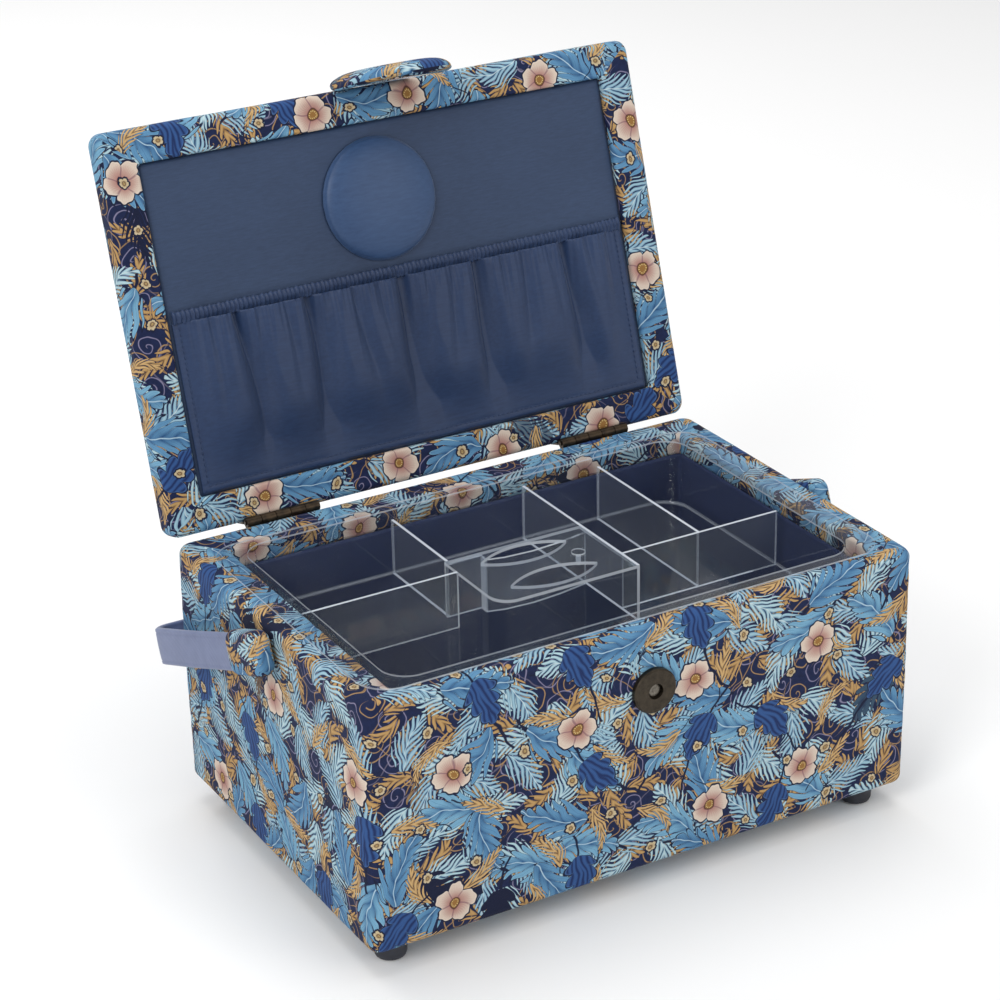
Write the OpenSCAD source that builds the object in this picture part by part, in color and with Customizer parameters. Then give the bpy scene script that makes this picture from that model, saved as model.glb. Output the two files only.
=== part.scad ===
// Fabric-covered sewing box with a hinged padded lid, a lift-out clear tray,
// a magnetic closure tab and a swinging carry handle.
// Origin: centre of the box footprint on the surface that the feet stand on.
// +X right, +Y back, +Z up. Rest pose: lid open on its stop, tray seated,
// handle dropped against the back.

/* [Box] */
// Outer width of the box
box_w = 260; // [250:1:280]
// Outer depth of the box
box_d = 172; // [168:1:184]
// Height of the box body above its feet
box_h = 112; // [105:1:125]
// Thickness of each side wall with its fabric
side_wall = 16.5; // [15:0.5:18]
// Thickness of the front wall with its fabric
front_wall = 8.8; // [8:0.2:10]
// Thickness of the back wall with its fabric
back_wall = 19.2; // [18:0.2:21]
// Printed cover thickness
cover_t = 1.0; // [0.8:0.1:1.2]
// Wadding thickness under the cover
wad_t = 1.5; // [1:0.1:2]
// Plan radius of the box corners
corner_r = 5; // [4:0.5:8]

/* [Feet] */
// Height of the feet
foot_h = 11; // [8:1:12]
// Radius of the feet
foot_r = 7; // [6:0.5:9]
// Inset of the foot centres from the box edges
foot_inset = 15; // [12:1:22]

/* [Lid] */
// Opening angle of the lid at its stop
open_angle = 107.2; // [95:0.1:110]
// Thickness of the lid
lid_t = 13.5; // [13:0.5:15]
// Width of the padded rim round the lining
lid_rim = 16.7; // [15:0.1:19]
// Recess of the lining below the rim
lid_recess = 2.5; // [2:0.1:3]

/* [Pincushion and pocket] */
// Radius of the pincushion
cushion_r = 27.5; // [22:0.5:30]
// Height of the pincushion
cushion_h = 7.5; // [5:0.1:7.5]
// Depth of the gathered pocket
pocket_d = 6.8; // [6.4:0.1:6.8]

/* [Hinges] */
// Distance of each hinge from the middle
hinge_x = 79; // [60:1:95]
// Length of each hinge
hinge_len = 35; // [30:1:40]
// Radius of the hinge knuckles
knuckle_r = 2.2; // [2:0.1:2.3]
// Radius of the hinge pins
pin_r = 1.0; // [0.8:0.1:1.2]

/* [Closure] */
// Height of the snap centre below the rim
snap_drop = 29; // [26:0.5:30]
// Radius of the magnetic snap
snap_r = 9.9; // [8:0.1:10]
// Radius of the padded closure tab
tab_r = 26.4; // [24:0.2:30]
// Outward lean of the closure tab at rest
tab_lean = 1.8; // [1.8:0.2:12]

/* [Tray] */
// Depth of the clear tray below the rim
tray_depth = 30.8; // [28:0.2:36]
// Wall thickness of the clear tray
tray_wall = 1.2; // [1:0.1:1.5]
// Thickness of the dividers
div_t = 1.3; // [1:0.1:1.6]
// Distance of the divider tops below the rim
div_drop = 3.8; // [3.8:0.2:6]

/* [Handle] */
// Reach of the handle from its pivots
handle_reach = 100.5; // [99.8:0.1:101]
// Width of the handle strap
strap_w = 16.4; // [14:0.2:18]
// Thickness of the handle strap
strap_t = 3; // [2.5:0.1:3]
// Height of the handle pivots above the floor
pivot_z = 110.5; // [106:0.5:111]
// Droop of the handle as it leans on the back wall
droop = 21.7; // [19:0.1:21.9]

/* [Hidden] */
$fn = 64;
hw = box_w/2;
hd = box_d/2;
zr = foot_h + box_h;            // top of the rim
skin = cover_t + wad_t;
lin_t = 0.8;                    // lining fabric
cx = hw - side_wall;            // half width of the cavity
cyf = -hd + front_wall;         // front of the cavity
cyb = hd - back_wall;           // back of the cavity
z_floor = foot_h + 6;           // top of the floor lining
wrap = 9;                       // how far the print turns down inside
// hinge axis
hy = hd + 0.3;
hz = zr + 0.6;
// lid, described closed
zl = zr + 1.7;
lw = hw + 0.5;
lyf = -hd - 1.3;
lyb = hd + 0.2;
// lining panel of the lid
px = lw - lid_rim;
pyf = lyf + 15.2;
pyb = lyb - 14.8;
zp = zl + lid_recess;
// snap
zs = zr - snap_drop;
sock_t = 2.6;
// tab
tab_in = hd + sock_t + 0.3;   // inner face of the tab when snapped, flush with its stud
tab_cz = zl - 18.5;
tab_ax_y = lyf - 2.6;
tab_ax_z = zl + 4;
// tray
tx = -1.5;
tiw = 109.3;
tyf = cyf + 2.2;
tyb = cyb - 2.8;
zt = zr - tray_depth;           // underside of the tray
ztf = zt + tray_wall;           // floor of the tray
zd = zr - div_drop;             // divider tops
gl = tx - 37.1;
gr = tx + 29.35;
gyb = 15.3;
gyf = -30.8;
gp_t = 1.4;                     // grip plate thickness

module opened() {
  translate([0, hy, hz]) rotate([-open_angle, 0, 0]) translate([0, -hy, -hz]) children();
}
module handle_frame() {
  translate([0, 0, pivot_z]) rotate([-droop, 0, 0]) children();
}
// box from its two corners
module blk(a, b) { translate(a) cube([b[0]-a[0], b[1]-a[1], b[2]-a[2]]); }
// upright block with rounded plan corners
module rblk(a, b, r) {
  translate([0, 0, a[2]]) linear_extrude(b[2]-a[2]) union() {
    translate([a[0]+r, a[1]]) square([b[0]-a[0]-2*r, b[1]-a[1]]);
    translate([a[0], a[1]+r]) square([b[0]-a[0], b[1]-a[1]-2*r]);
    for (x = [a[0]+r, b[0]-r], y = [a[1]+r, b[1]-r]) translate([x, y]) circle(r = r);
  }
}
module ycyl(r, x, z, y0, y1) { translate([x, y0, z]) rotate([-90, 0, 0]) cylinder(r = r, h = y1-y0); }
module xcyl(r, y, z, x0, x1) { translate([x0, y, z]) rotate([0, 90, 0]) cylinder(r = r, h = x1-x0); }
module hinge_groove() { xcyl(2.6, hy, hz, -hw-5, hw+5); }
screw_dx = 10;
module box_screw_holes(r) {
  for (s = [-1, 1], k = [-1, 1]) ycyl(r, s*hinge_x + k*screw_dx, zr-9.5, hd-10.2, hd+3);
}
module lid_screw_holes(r) {
  for (s = [-1, 1], k = [-1, 1]) ycyl(r, s*hinge_x + k*screw_dx, zl+7.4, lyb-8.2, lyb+3);
}
module pivot_holes(r) { for (s = [-1, 1]) xcyl(r, 0, pivot_z, s < 0 ? -hw-2 : cx-4, s < 0 ? -cx+4 : hw+2); }
module foot_holes(r) {
  for (x = [-1, 1], y = [-1, 1])
    translate([x*(hw-foot_inset), y*(hd-foot_inset), 2.6]) cylinder(r = r, h = foot_h+5);
}

// ---- box body ----
bx = hw - skin;      // outer half width of the boards
by = hd - skin;
zb0 = foot_h + cover_t;
zb1 = zb0 + 4;
zbt = zr - skin;
ix = cx + lin_t;     // inner half width of the boards
iyf = cyf - lin_t;
iyb = cyb + lin_t;

module bottom_board() color("burlywood") difference() {
  blk([-bx, -by, zb0], [bx, by, zb1]);
  foot_holes(1.65);
}
module front_wall_board() color("burlywood") difference() {
  blk([-ix, -by, zb1], [ix, iyf, zbt]);
  ycyl(1.85, 0, zs, -by-1, iyf+1);
  ycyl(8.2, 0, zs, iyf-0.9, iyf+1);
}
module back_wall_board() color("burlywood") difference() {
  blk([-ix, iyb, zb1], [ix, by, zbt]);
  box_screw_holes(1.0);
}
module side_board(s) difference() {
  blk([s < 0 ? -bx : ix, -by, zb1], [s < 0 ? -ix : bx, by, zbt]);
  pivot_holes(2.55);
  xcyl(6.1, 0, pivot_z, s < 0 ? -ix-1.3 : ix-1, s < 0 ? -ix+1 : ix+1.3);
}
module left_wall_board() color("burlywood") side_board(-1);
module right_wall_board() color("burlywood") side_board(1);
module box_wadding() color("ivory") difference() {
  rblk([-hw+cover_t, -hd+cover_t, zb0], [hw-cover_t, hd-cover_t, zr-cover_t], corner_r-cover_t);
  blk([-bx, -by, zb0-1], [bx, by, zbt]);
  blk([-ix, iyf, zb0], [ix, iyb, zr+1]);
  hinge_groove();
  box_screw_holes(1.05);
  pivot_holes(2.6);
  ycyl(1.9, 0, zs, -hd-1, -by+1);
}
module box_cover() color("midnightblue") difference() {
  rblk([-hw, -hd, foot_h], [hw, hd, zr], corner_r);
  difference() {
    rblk([-hw+cover_t, -hd+cover_t, zb0], [hw-cover_t, hd-cover_t, zr-cover_t], corner_r-cover_t);
    // collar of print that turns down inside the rim
    blk([-ix, iyf, zr-wrap], [ix, iyb, zr]);
  }
  blk([-cx, cyf, zb0], [cx, cyb, zr+1]);
  blk([-cx-2, cyf-2, zb0], [cx+2, cyb+2, zr-wrap]);
  hinge_groove();
  box_screw_holes(1.05);
  pivot_holes(2.6);
  foot_holes(1.65);
  ycyl(1.9, 0, zs, -hd-1, -by+1);
}
module box_wall_lining() color("darkslateblue") difference() {
  blk([-ix, iyf, z_floor], [ix, iyb, zr-wrap]);
  blk([-cx, cyf, z_floor-1], [cx, cyb, zr]);
}
module box_floor_lining() color("darkslateblue") blk([-ix, iyf, zb1], [ix, iyb, z_floor]);
module feet() color("black") difference() {
  for (x = [-1, 1], y = [-1, 1]) translate([x*(hw-foot_inset), y*(hd-foot_inset), 0])
    rotate_extrude() polygon([[0, 0], [foot_r*0.72, 0], [foot_r*0.9, foot_h*0.07], [foot_r*0.98, foot_h*0.2],
      [foot_r, foot_h*0.4], [foot_r, foot_h], [0, foot_h]]);
  foot_holes(1.6);
}
module foot_pins() color("silver") for (x = [-1, 1], y = [-1, 1])
  translate([x*(hw-foot_inset), y*(hd-foot_inset), 2.6]) cylinder(r = 1.6, h = foot_h+2);
module snap_socket() color("dimgray") union() {
  translate([0, -hd, zs]) rotate([90, 0, 0]) difference() {
    rotate_extrude() polygon([[0, 0], [snap_r, 0], [snap_r, sock_t-0.7], [snap_r-0.7, sock_t], [0, sock_t]]);
    translate([0, 0, 0.4]) cylinder(r = 3.4, h = 5);
  }
  ycyl(1.8, 0, zs, -hd-0.2, iyf-0.8);
}
module snap_backing_plate() color("dimgray") ycyl(8, 0, zs, iyf-0.8, iyf);

// ---- hinges ----
kl = hinge_len/5;
module knuckle(c, k) {
  difference() {
    xcyl(knuckle_r, hy, hz, c-hinge_len/2+k*kl+0.15, c-hinge_len/2+(k+1)*kl-0.15);
    xcyl(pin_r+0.05, hy, hz, c-hinge_len, c+hinge_len);
  }
}
module hinge_leaves_box() color("saddlebrown") for (s = [-1, 1]) difference() {
  union() {
    for (k = [0, 2, 4]) {
      knuckle(s*hinge_x, k);
      difference() {
        blk([s*hinge_x-hinge_len/2+k*kl+0.15, hd, zr-4], [s*hinge_x-hinge_len/2+(k+1)*kl-0.15, hd+0.9, hz]);
        xcyl(pin_r+0.6, hy, hz, -hw, hw);
      }
    }
    blk([s*hinge_x-hinge_len/2, hd, zr-14], [s*hinge_x+hinge_len/2, hd+0.9, zr-2.2]);
  }
  box_screw_holes(1.0);
}
module hinge_pins() color("saddlebrown") for (s = [-1, 1])
  xcyl(pin_r, hy, hz, s*hinge_x-hinge_len/2-0.4, s*hinge_x+hinge_len/2+0.4);
module hinge_screws_box() color("peru") for (s = [-1, 1], k = [-1, 1]) {
  ycyl(1.0, s*hinge_x+k*screw_dx, zr-9.5, hd-10, hd+0.95);
  ycyl(2.0, s*hinge_x+k*screw_dx, zr-9.5, hd+0.9, hd+1.6);
}
module hinge_leaves_lid() color("saddlebrown") opened() for (s = [-1, 1]) difference() {
  union() {
    for (k = [1, 3]) {
      knuckle(s*hinge_x, k);
      difference() {
        blk([s*hinge_x-hinge_len/2+k*kl+0.15, lyb, hz], [s*hinge_x-hinge_len/2+(k+1)*kl-0.15, lyb+0.9, hz+4]);
        xcyl(pin_r+0.6, hy, hz, -hw, hw);
      }
    }
    blk([s*hinge_x-hinge_len/2, lyb, hz+2.8], [s*hinge_x+hinge_len/2, lyb+0.9, zl+12.3]);
  }
  lid_screw_holes(1.0);
}
module hinge_screws_lid() color("peru") opened() for (s = [-1, 1], k = [-1, 1]) {
  ycyl(1.0, s*hinge_x+k*screw_dx, zl+7.4, lyb-8, lyb+0.95);
  ycyl(2.0, s*hinge_x+k*screw_dx, zl+7.4, lyb+0.9, lyb+1.6);
}

// ---- handle pivots ----
module handle_pivot_pins() color("silver") for (s = [-1, 1]) {
  xcyl(2.5, 0, pivot_z, s < 0 ? -hw-7 : ix+0.5, s < 0 ? -ix-0.5 : hw+7);
  xcyl(6, 0, pivot_z, s < 0 ? -ix-1.2 : ix, s < 0 ? -ix : ix+1.2);
}
module handle_washers() color("silver") for (s = [-1, 1]) difference() {
  xcyl(7, 0, pivot_z, s < 0 ? -hw-0.9 : hw, s < 0 ? -hw : hw+0.9);
  xcyl(2.55, 0, pivot_z, -hw-2, hw+2);
}

// ---- lid, described closed and shown open ----
lbx = lw - skin;
lbyf = lyf + skin;
lbyb = lyb - skin;
jx = px + lin_t;
jyf = pyf - lin_t;
jyb = pyb + lin_t;
z_panel = zp + 1.1;
module lid_board() color("burlywood") opened() difference() {
  blk([-lbx, lbyf, z_panel], [lbx, lbyb, zl+lid_t-skin]);
  lid_screw_holes(1.0);
}
module lid_frame_front() color("burlywood") opened() blk([-lbx, lbyf, zl+cover_t], [lbx, jyf, z_panel]);
module lid_frame_back() color("burlywood") opened() blk([-lbx, jyb, zl+cover_t], [lbx, lbyb, z_panel]);
module lid_frame_left() color("burlywood") opened() blk([-lbx, jyf, zl+cover_t], [-jx, jyb, z_panel]);
module lid_frame_right() color("burlywood") opened() blk([jx, jyf, zl+cover_t], [lbx, jyb, z_panel]);
module lid_wadding() color("ivory") opened() difference() {
  rblk([-lw+cover_t, lyf+cover_t, zl+cover_t], [lw-cover_t, lyb-cover_t, zl+lid_t-cover_t], corner_r-cover_t);
  blk([-lbx, lbyf, zl], [lbx, lbyb, zl+lid_t-skin]);
  hinge_groove();
  lid_screw_holes(1.05);
}
module lid_cover() color("midnightblue") opened() difference() {
  rblk([-lw, lyf, zl], [lw, lyb, zl+lid_t], corner_r);
  difference() {
    rblk([-lw+cover_t, lyf+cover_t, zl+cover_t], [lw-cover_t, lyb-cover_t, zl+lid_t-cover_t], corner_r-cover_t);
    // print that turns in at the edge of the lining
    blk([-jx, jyf, zl], [jx, jyb, zp]);
  }
  blk([-px, pyf, zl-1], [px, pyb, zp]);
  hinge_groove();
  lid_screw_holes(1.05);
}
module lid_lining_panel() color("steelblue") opened() blk([-jx, jyf, zp], [jx, jyb, z_panel]);
ccx = -5.7;
ccy = pyf + 33.7;
module pincushion() color("steelblue") opened() translate([ccx, ccy, zp]) rotate([180, 0, 0]) difference() {
  rotate_extrude() polygon([[0, 0], [cushion_r*0.93, 0], [cushion_r, cushion_h*0.2], [cushion_r, cushion_h*0.36],
    [cushion_r*0.95, cushion_h*0.58], [cushion_r*0.84, cushion_h*0.76], [cushion_r*0.62, cushion_h*0.92],
    [cushion_r*0.35, cushion_h*0.985], [0, cushion_h]]);
  translate([0, 0, -1]) cylinder(r = cushion_r*0.82, h = 2);
}
module pincushion_base() color("tan") opened() translate([ccx, ccy, zp-1]) cylinder(r = cushion_r*0.82, h = 1);
// pocket: a shallow trough of cloth, stitched down at the sides and bottom, open at its top edge
pk_t = 1;
py0 = pyf + 63.6;
py1 = pyb - 0.9;
module trough(x0, x1, y0, yb0, yb1, d) {
  hull() {
    translate([-x0, y0, zp-0.01]) cube([2*x0, yb0-y0, 0.01]);
    translate([-x1, y0, zp-d]) cube([2*x1, yb1-y0, 0.01]);
  }
}
module pocket_body() difference() {
  trough(px-1.6, px-15.5, py0, py1, py1-28, pocket_d);
  translate([0, 0, 0.02]) trough(px-3.8, px-16.3, py0-1, py1-3.4, py1-28.5, pocket_d-pk_t+0.02);
}
module pocket() color("steelblue") opened() intersection() {
  pocket_body();
  blk([-px, py0+5.5, zp-pocket_d-1], [px, py1+1, zp]);
}
module pocket_elastic() color("slateblue") opened() intersection() {
  pocket_body();
  blk([-px, py0, zp-pocket_d-1], [px, py0+5.5, zp]);
}

// ---- closure tab, described snapped on the closed box ----
// the tab leans out from its seam; c = distance inside the outline, top = height it reaches
module leaned() {
  opened() translate([0, tab_ax_y, tab_ax_z]) rotate([-tab_lean, 0, 0]) translate([0, -tab_ax_y, -tab_ax_z]) children();
}
module tab_outline(c, top, y0, y1) {
  intersection() {
    ycyl(tab_r-c, 0, tab_cz, y0, y1);
    blk([-tab_r, y0-1, tab_cz-tab_r], [tab_r, y1+1, min(top, zl-2)]);
  }
  blk([-19+c/2, y0, tab_cz], [19-c/2, y1, top]);
}
module closure_tab() color("midnightblue") leaned() difference() {
  union() {
    tab_outline(0, zl+1, -tab_in-3.8, -tab_in-1.2);
    tab_outline(2.5, zl+1, -tab_in-4.8, -tab_in);
    tab_outline(8, zl-1, -tab_in-5.6, -tab_in);
    xcyl(2.3, tab_ax_y, tab_ax_z, -18.5, 18.5);
    // web between the padded tongue and the seam
    translate([-18.5, 0, 0]) rotate([90, 0, 90]) linear_extrude(37)
      polygon([[tab_ax_y-2.3, tab_ax_z], [tab_ax_y+1.2, tab_ax_z-1.96], [-tab_in-1, zl+0.5], [-tab_in-4, zl+0.5]]);
  }
  tab_outline(6, zl-6, -tab_in-3.8, -tab_in-2.4);
  ycyl(1.6, 0, zs, -tab_in-2.5, -tab_in+1);
  ycyl(snap_r, 0, zs, -tab_in-1.5, -tab_in+1);
}
module tab_stiffener() color("tan") leaned() tab_outline(6, zl-6, -tab_in-3.8, -tab_in-2.4);
module snap_stud() color("dimgray") leaned() union() {
  ycyl(snap_r, 0, zs, -tab_in-1.5, -tab_in);
  ycyl(2.4, 0, zs, -tab_in-0.1, -tab_in+1);
  ycyl(1.5, 0, zs, -tab_in-2.3, -tab_in-1.4);
}

// ---- tray ----
module tray_shell() color("lightcyan") difference() {
  union() {
    rblk([tx-tiw-tray_wall, tyf-tray_wall, zt], [tx+tiw+tray_wall, tyb+tray_wall, zr+0.5], 13.2);
    rblk([tx-tiw-12.5, tyf-5.5, zr+0.1], [tx+tiw+12.5, tyb+5.5, zr+1.3], 14);
  }
  rblk([tx-tiw, tyf, ztf], [tx+tiw, tyb, zr+5], 12);
}
module tray_divider_left_long() color("lightcyan") blk([gl+1.3-div_t/2, gyb, ztf], [gl+1.3+div_t/2, tyb, zd]);
module tray_divider_left_cross() color("lightcyan") blk([tx-tiw, 4-div_t/2, ztf], [gl, 4+div_t/2, zd]);
module tray_divider_centre_long() color("lightcyan") blk([gr, gyf, ztf], [gr+div_t, tyb, zd]);
module tray_divider_right_long() color("lightcyan") blk([tx+69-div_t/2, -17.5+div_t/2, ztf], [tx+69+div_t/2, tyb, zd]);
module tray_divider_right_cross() color("lightcyan") blk([gr+div_t, -17.5-div_t/2, ztf], [tx+tiw, -17.5+div_t/2, zd]);
// wall below the grip, stepped and bowed forward behind the finger holes
module tray_grip_wall() color("lightcyan") translate([0, 0, ztf]) linear_extrude(zd-gp_t-ztf)
  polygon([[gl, gyb], [gl, gyb-div_t], [gl+16.7, gyb-div_t], [gl+16.7, 9.6], [gl+25, 7.4], [gl+38, 6.5], [gl+52, 7.6], [gr, 10.2],
    [gr, 11.5], [gl+52, 8.9], [gl+38, 7.8], [gl+25.3, 8.7], [gl+18, 10.6], [gl+18, gyb]]);
// finger hole: a lens from two arcs
lens_r = 32.8;
lens_o = lens_r - 7.6;
module lens(x, y) intersection() {
  translate([x, y+lens_o, zd-5]) cylinder(r = lens_r, h = 10, $fn = 128);
  translate([x, y-lens_o, zd-5]) cylinder(r = lens_r, h = 10, $fn = 128);
}
gcx = (gl+gr)/2;
module tray_grip() color("lightcyan") difference() {
  union() {
    difference() {
      blk([gl, gyf, zd-gp_t], [gr, gyb, zd]);
      // rounded front left corner
      difference() {
        blk([gl-1, gyf-1, zd-3], [gl+9, gyf+9, zd+1]);
        translate([gl+9, gyf+9, zd-4]) cylinder(r = 9, h = 8);
      }
    }
    translate([gcx+19, -7, zd-0.1]) cylinder(r = 3, h = 0.7);
    translate([gcx+19, -7, zd-gp_t-4]) cylinder(r = 1.1, h = 4.2);
  }
  lens(gcx, 6);
  lens(gcx, -19);
}

// ---- handle, described level and shown drooped ----
ho = hw + 9.2;
strap_r = 9;
module strap_plan() difference() {
  union() {
    translate([-ho, 3]) square([2*ho, handle_reach-strap_r-3]);
    translate([-ho+strap_r, 3]) square([2*ho-2*strap_r, handle_reach-3]);
    for (s = [-1, 1]) translate([s*(ho-strap_r), handle_reach-strap_r]) circle(r = strap_r);
  }
  union() {
    translate([-ho+strap_t, 0]) square([2*(ho-strap_t), handle_reach-strap_r]);
    translate([-ho+strap_r, 0]) square([2*ho-2*strap_r, handle_reach-strap_t]);
    for (s = [-1, 1]) translate([s*(ho-strap_r), handle_reach-strap_r]) circle(r = strap_r-strap_t);
  }
}
module handle_strap() color("lightsteelblue") handle_frame()
  translate([0, 0, -strap_w/2]) linear_extrude(strap_w) strap_plan();
module handle_end(s) handle_frame() difference() {
  // block with rounded corners, seen from the side
  translate([s < 0 ? -hw-11.8 : hw+1.2, 0, 0]) rotate([90, 0, 90]) linear_extrude(10.6) union() {
    translate([-11, -9.7]) square([23, 19.4]);
    translate([-15, -5.7]) square([31, 11.4]);
    for (y = [-11, 12], z = [-5.7, 5.7]) translate([y, z]) circle(r = 4);
  }
  // socket for the strap end
  blk([s < 0 ? -ho : ho-strap_t, 3, -strap_w/2], [s < 0 ? -ho+strap_t : ho, 20, strap_w/2]);
  // bearing for the pivot pin
  xcyl(2.55, 0, 0, s < 0 ? -hw-7.4 : hw, s < 0 ? -hw : hw+7.4);
}
module handle_end_left() color("midnightblue") handle_end(-1);
module handle_end_right() color("midnightblue") handle_end(1);

bottom_board();
front_wall_board();
back_wall_board();
left_wall_board();
right_wall_board();
box_wadding();
box_cover();
box_wall_lining();
box_floor_lining();
feet();
foot_pins();
snap_socket();
snap_backing_plate();
hinge_leaves_box();
hinge_pins();
hinge_screws_box();
handle_pivot_pins();
handle_washers();
lid_board();
lid_frame_front();
lid_frame_back();
lid_frame_left();
lid_frame_right();
lid_wadding();
lid_cover();
lid_lining_panel();
pincushion();
pincushion_base();
pocket();
pocket_elastic();
hinge_leaves_lid();
hinge_screws_lid();
closure_tab();
tab_stiffener();
snap_stud();
tray_shell();
tray_divider_left_long();
tray_divider_left_cross();
tray_divider_centre_long();
tray_divider_right_long();
tray_divider_right_cross();
tray_grip_wall();
tray_grip();
handle_strap();
handle_end_left();
handle_end_right();
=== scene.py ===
import math

import bmesh
import bpy
from mathutils import Matrix, Vector, noise


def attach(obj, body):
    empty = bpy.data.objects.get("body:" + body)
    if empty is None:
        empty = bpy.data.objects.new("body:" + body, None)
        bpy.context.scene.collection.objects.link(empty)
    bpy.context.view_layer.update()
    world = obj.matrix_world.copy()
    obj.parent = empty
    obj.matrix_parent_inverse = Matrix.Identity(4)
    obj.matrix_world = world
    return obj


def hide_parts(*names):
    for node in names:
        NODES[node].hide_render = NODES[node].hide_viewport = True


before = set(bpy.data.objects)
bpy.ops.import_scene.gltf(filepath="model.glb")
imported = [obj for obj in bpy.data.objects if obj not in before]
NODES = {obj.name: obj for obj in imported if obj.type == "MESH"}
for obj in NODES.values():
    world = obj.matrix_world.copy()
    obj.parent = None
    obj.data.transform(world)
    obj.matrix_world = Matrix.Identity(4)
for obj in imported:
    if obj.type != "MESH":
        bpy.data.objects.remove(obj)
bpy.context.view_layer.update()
SCENE = bpy.context.scene
MM = 0.001
PI = math.pi

# ------------------------------------------------------------------ camera
AZ, EL, ROLL = math.radians(29.63), math.radians(24.67), math.radians(-1.19)
back = Vector((-math.sin(AZ) * math.cos(EL), -math.cos(AZ) * math.cos(EL), math.sin(EL)))
right = (-back).cross(Vector((0, 0, 1))).normalized()
up = right.cross(-back)
cr, sr = math.cos(ROLL), math.sin(ROLL)
r2 = right * cr + up * sr
u2 = -right * sr + up * cr
cam_data = bpy.data.cameras.new("camera")
cam = bpy.data.objects.new("camera", cam_data)
SCENE.collection.objects.link(cam)
cam.matrix_world = Matrix(((r2.x, u2.x, back.x, -0.55733), (r2.y, u2.y, back.y, -0.94506), (r2.z, u2.z, back.z, 0.64843), (0, 0, 0, 1)))
cam_data.sensor_width = 36.0
cam_data.lens = 36.0 * 2891.53 / 1000.0
cam_data.clip_start = 0.01
cam_data.clip_end = 50
SCENE.camera = cam
SCENE.view_settings.view_transform = "Standard"

# ------------------------------------------------------------------ sizes, in millimetres, as the frame has them
HW, HD, ZR, FOOT = 130.0, 86.0, 123.0, 11.0
CX, CYF, CYB, ZFLOOR = 113.5, -77.2, 66.8, 17.0
HY, HZ = 86.3, 123.6
LW, LYF, LYB, ZL, LID_T = 130.5, -87.3, 86.2, 124.7, 13.5
PX, PYF, PYB, ZP = 113.8, -72.1, 71.4, 127.2
TH = math.radians(107.2)
LEAN = math.radians(1.8)
DROOP = math.radians(21.7)
PIVOT_Z = 110.5


def opened(p):
    y, z = p[1] - HY, p[2] - HZ
    return (p[0], HY + y * math.cos(TH) + z * math.sin(TH), HZ - y * math.sin(TH) + z * math.cos(TH))


def leaned(p):
    ay, az = LYF - 2.6, ZL + 4
    y, z = p[1] - ay, p[2] - az
    return opened((p[0], ay + y * math.cos(LEAN) + z * math.sin(LEAN), az - y * math.sin(LEAN) + z * math.cos(LEAN)))


def handled(p):
    y, z = p[1], p[2]
    return (p[0], y * math.cos(DROOP) + z * math.sin(DROOP), PIVOT_Z - y * math.sin(DROOP) + z * math.cos(DROOP))


def smooth(a, b, x):
    t = min(1.0, max(0.0, (x - a) / (b - a)))
    return t * t * (3 - 2 * t)


def nz(x, y, z=0.0):
    return noise.noise(Vector((x, y, z)))


# ------------------------------------------------------------------ mesh helpers
def mesh_object(name, verts, faces, uvs=None, xf=None, materials=()):
    me = bpy.data.meshes.new(name)
    pts = [xf(v) for v in verts] if xf else verts
    me.from_pydata([(p[0] * MM, p[1] * MM, p[2] * MM) for p in pts], [], faces)
    if uvs:
        layer = me.uv_layers.new(name="UVMap")
        k = 0
        for f in uvs:
            for u, v in f:
                layer.data[k].uv = (u * 0.01, v * 0.01)
                k += 1
    me.validate()
    for p in me.polygons:
        p.use_smooth = True
    ob = bpy.data.objects.new(name, me)
    SCENE.collection.objects.link(ob)
    for m in materials:
        me.materials.append(m)
    return ob


def apply_modifiers(ob):
    dg = bpy.context.evaluated_depsgraph_get()
    dg.update()
    new = bpy.data.meshes.new_from_object(ob.evaluated_get(dg), preserve_all_data_layers=True, depsgraph=dg)
    ob.modifiers.clear()
    ob.data = new
    return ob


def solidify(ob, thick_mm, offset=-1.0):
    m = ob.modifiers.new("solid", "SOLIDIFY")
    m.thickness = thick_mm * MM
    m.offset = offset
    m.use_even_offset = False
    return apply_modifiers(ob)


def ring_points(x0, x1, y0, y1, r, nx, ny, nc):
    """rounded rectangle, anticlockwise from the left end of the front side. Each point has (x, y)."""
    pts = []

    def side(ax, ay, bx, by, n):
        for i in range(n):
            t = i / n
            pts.append((ax + (bx - ax) * t, ay + (by - ay) * t))

    def arc(cx, cy, a0):
        for j in range(nc):
            a = a0 + PI / 2 * j / nc
            pts.append((cx + r * math.cos(a), cy + r * math.sin(a)))

    side(x0 + r, y0, x1 - r, y0, nx)
    arc(x1 - r, y0 + r, -PI / 2)
    side(x1, y0 + r, x1, y1 - r, ny)
    arc(x1 - r, y1 - r, 0)
    side(x1 - r, y1, x0 + r, y1, nx)
    arc(x0 + r, y1 - r, PI / 2)
    side(x0, y1 - r, x0, y0 + r, ny)
    arc(x0 + r, y0 + r, PI)
    return pts


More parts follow.
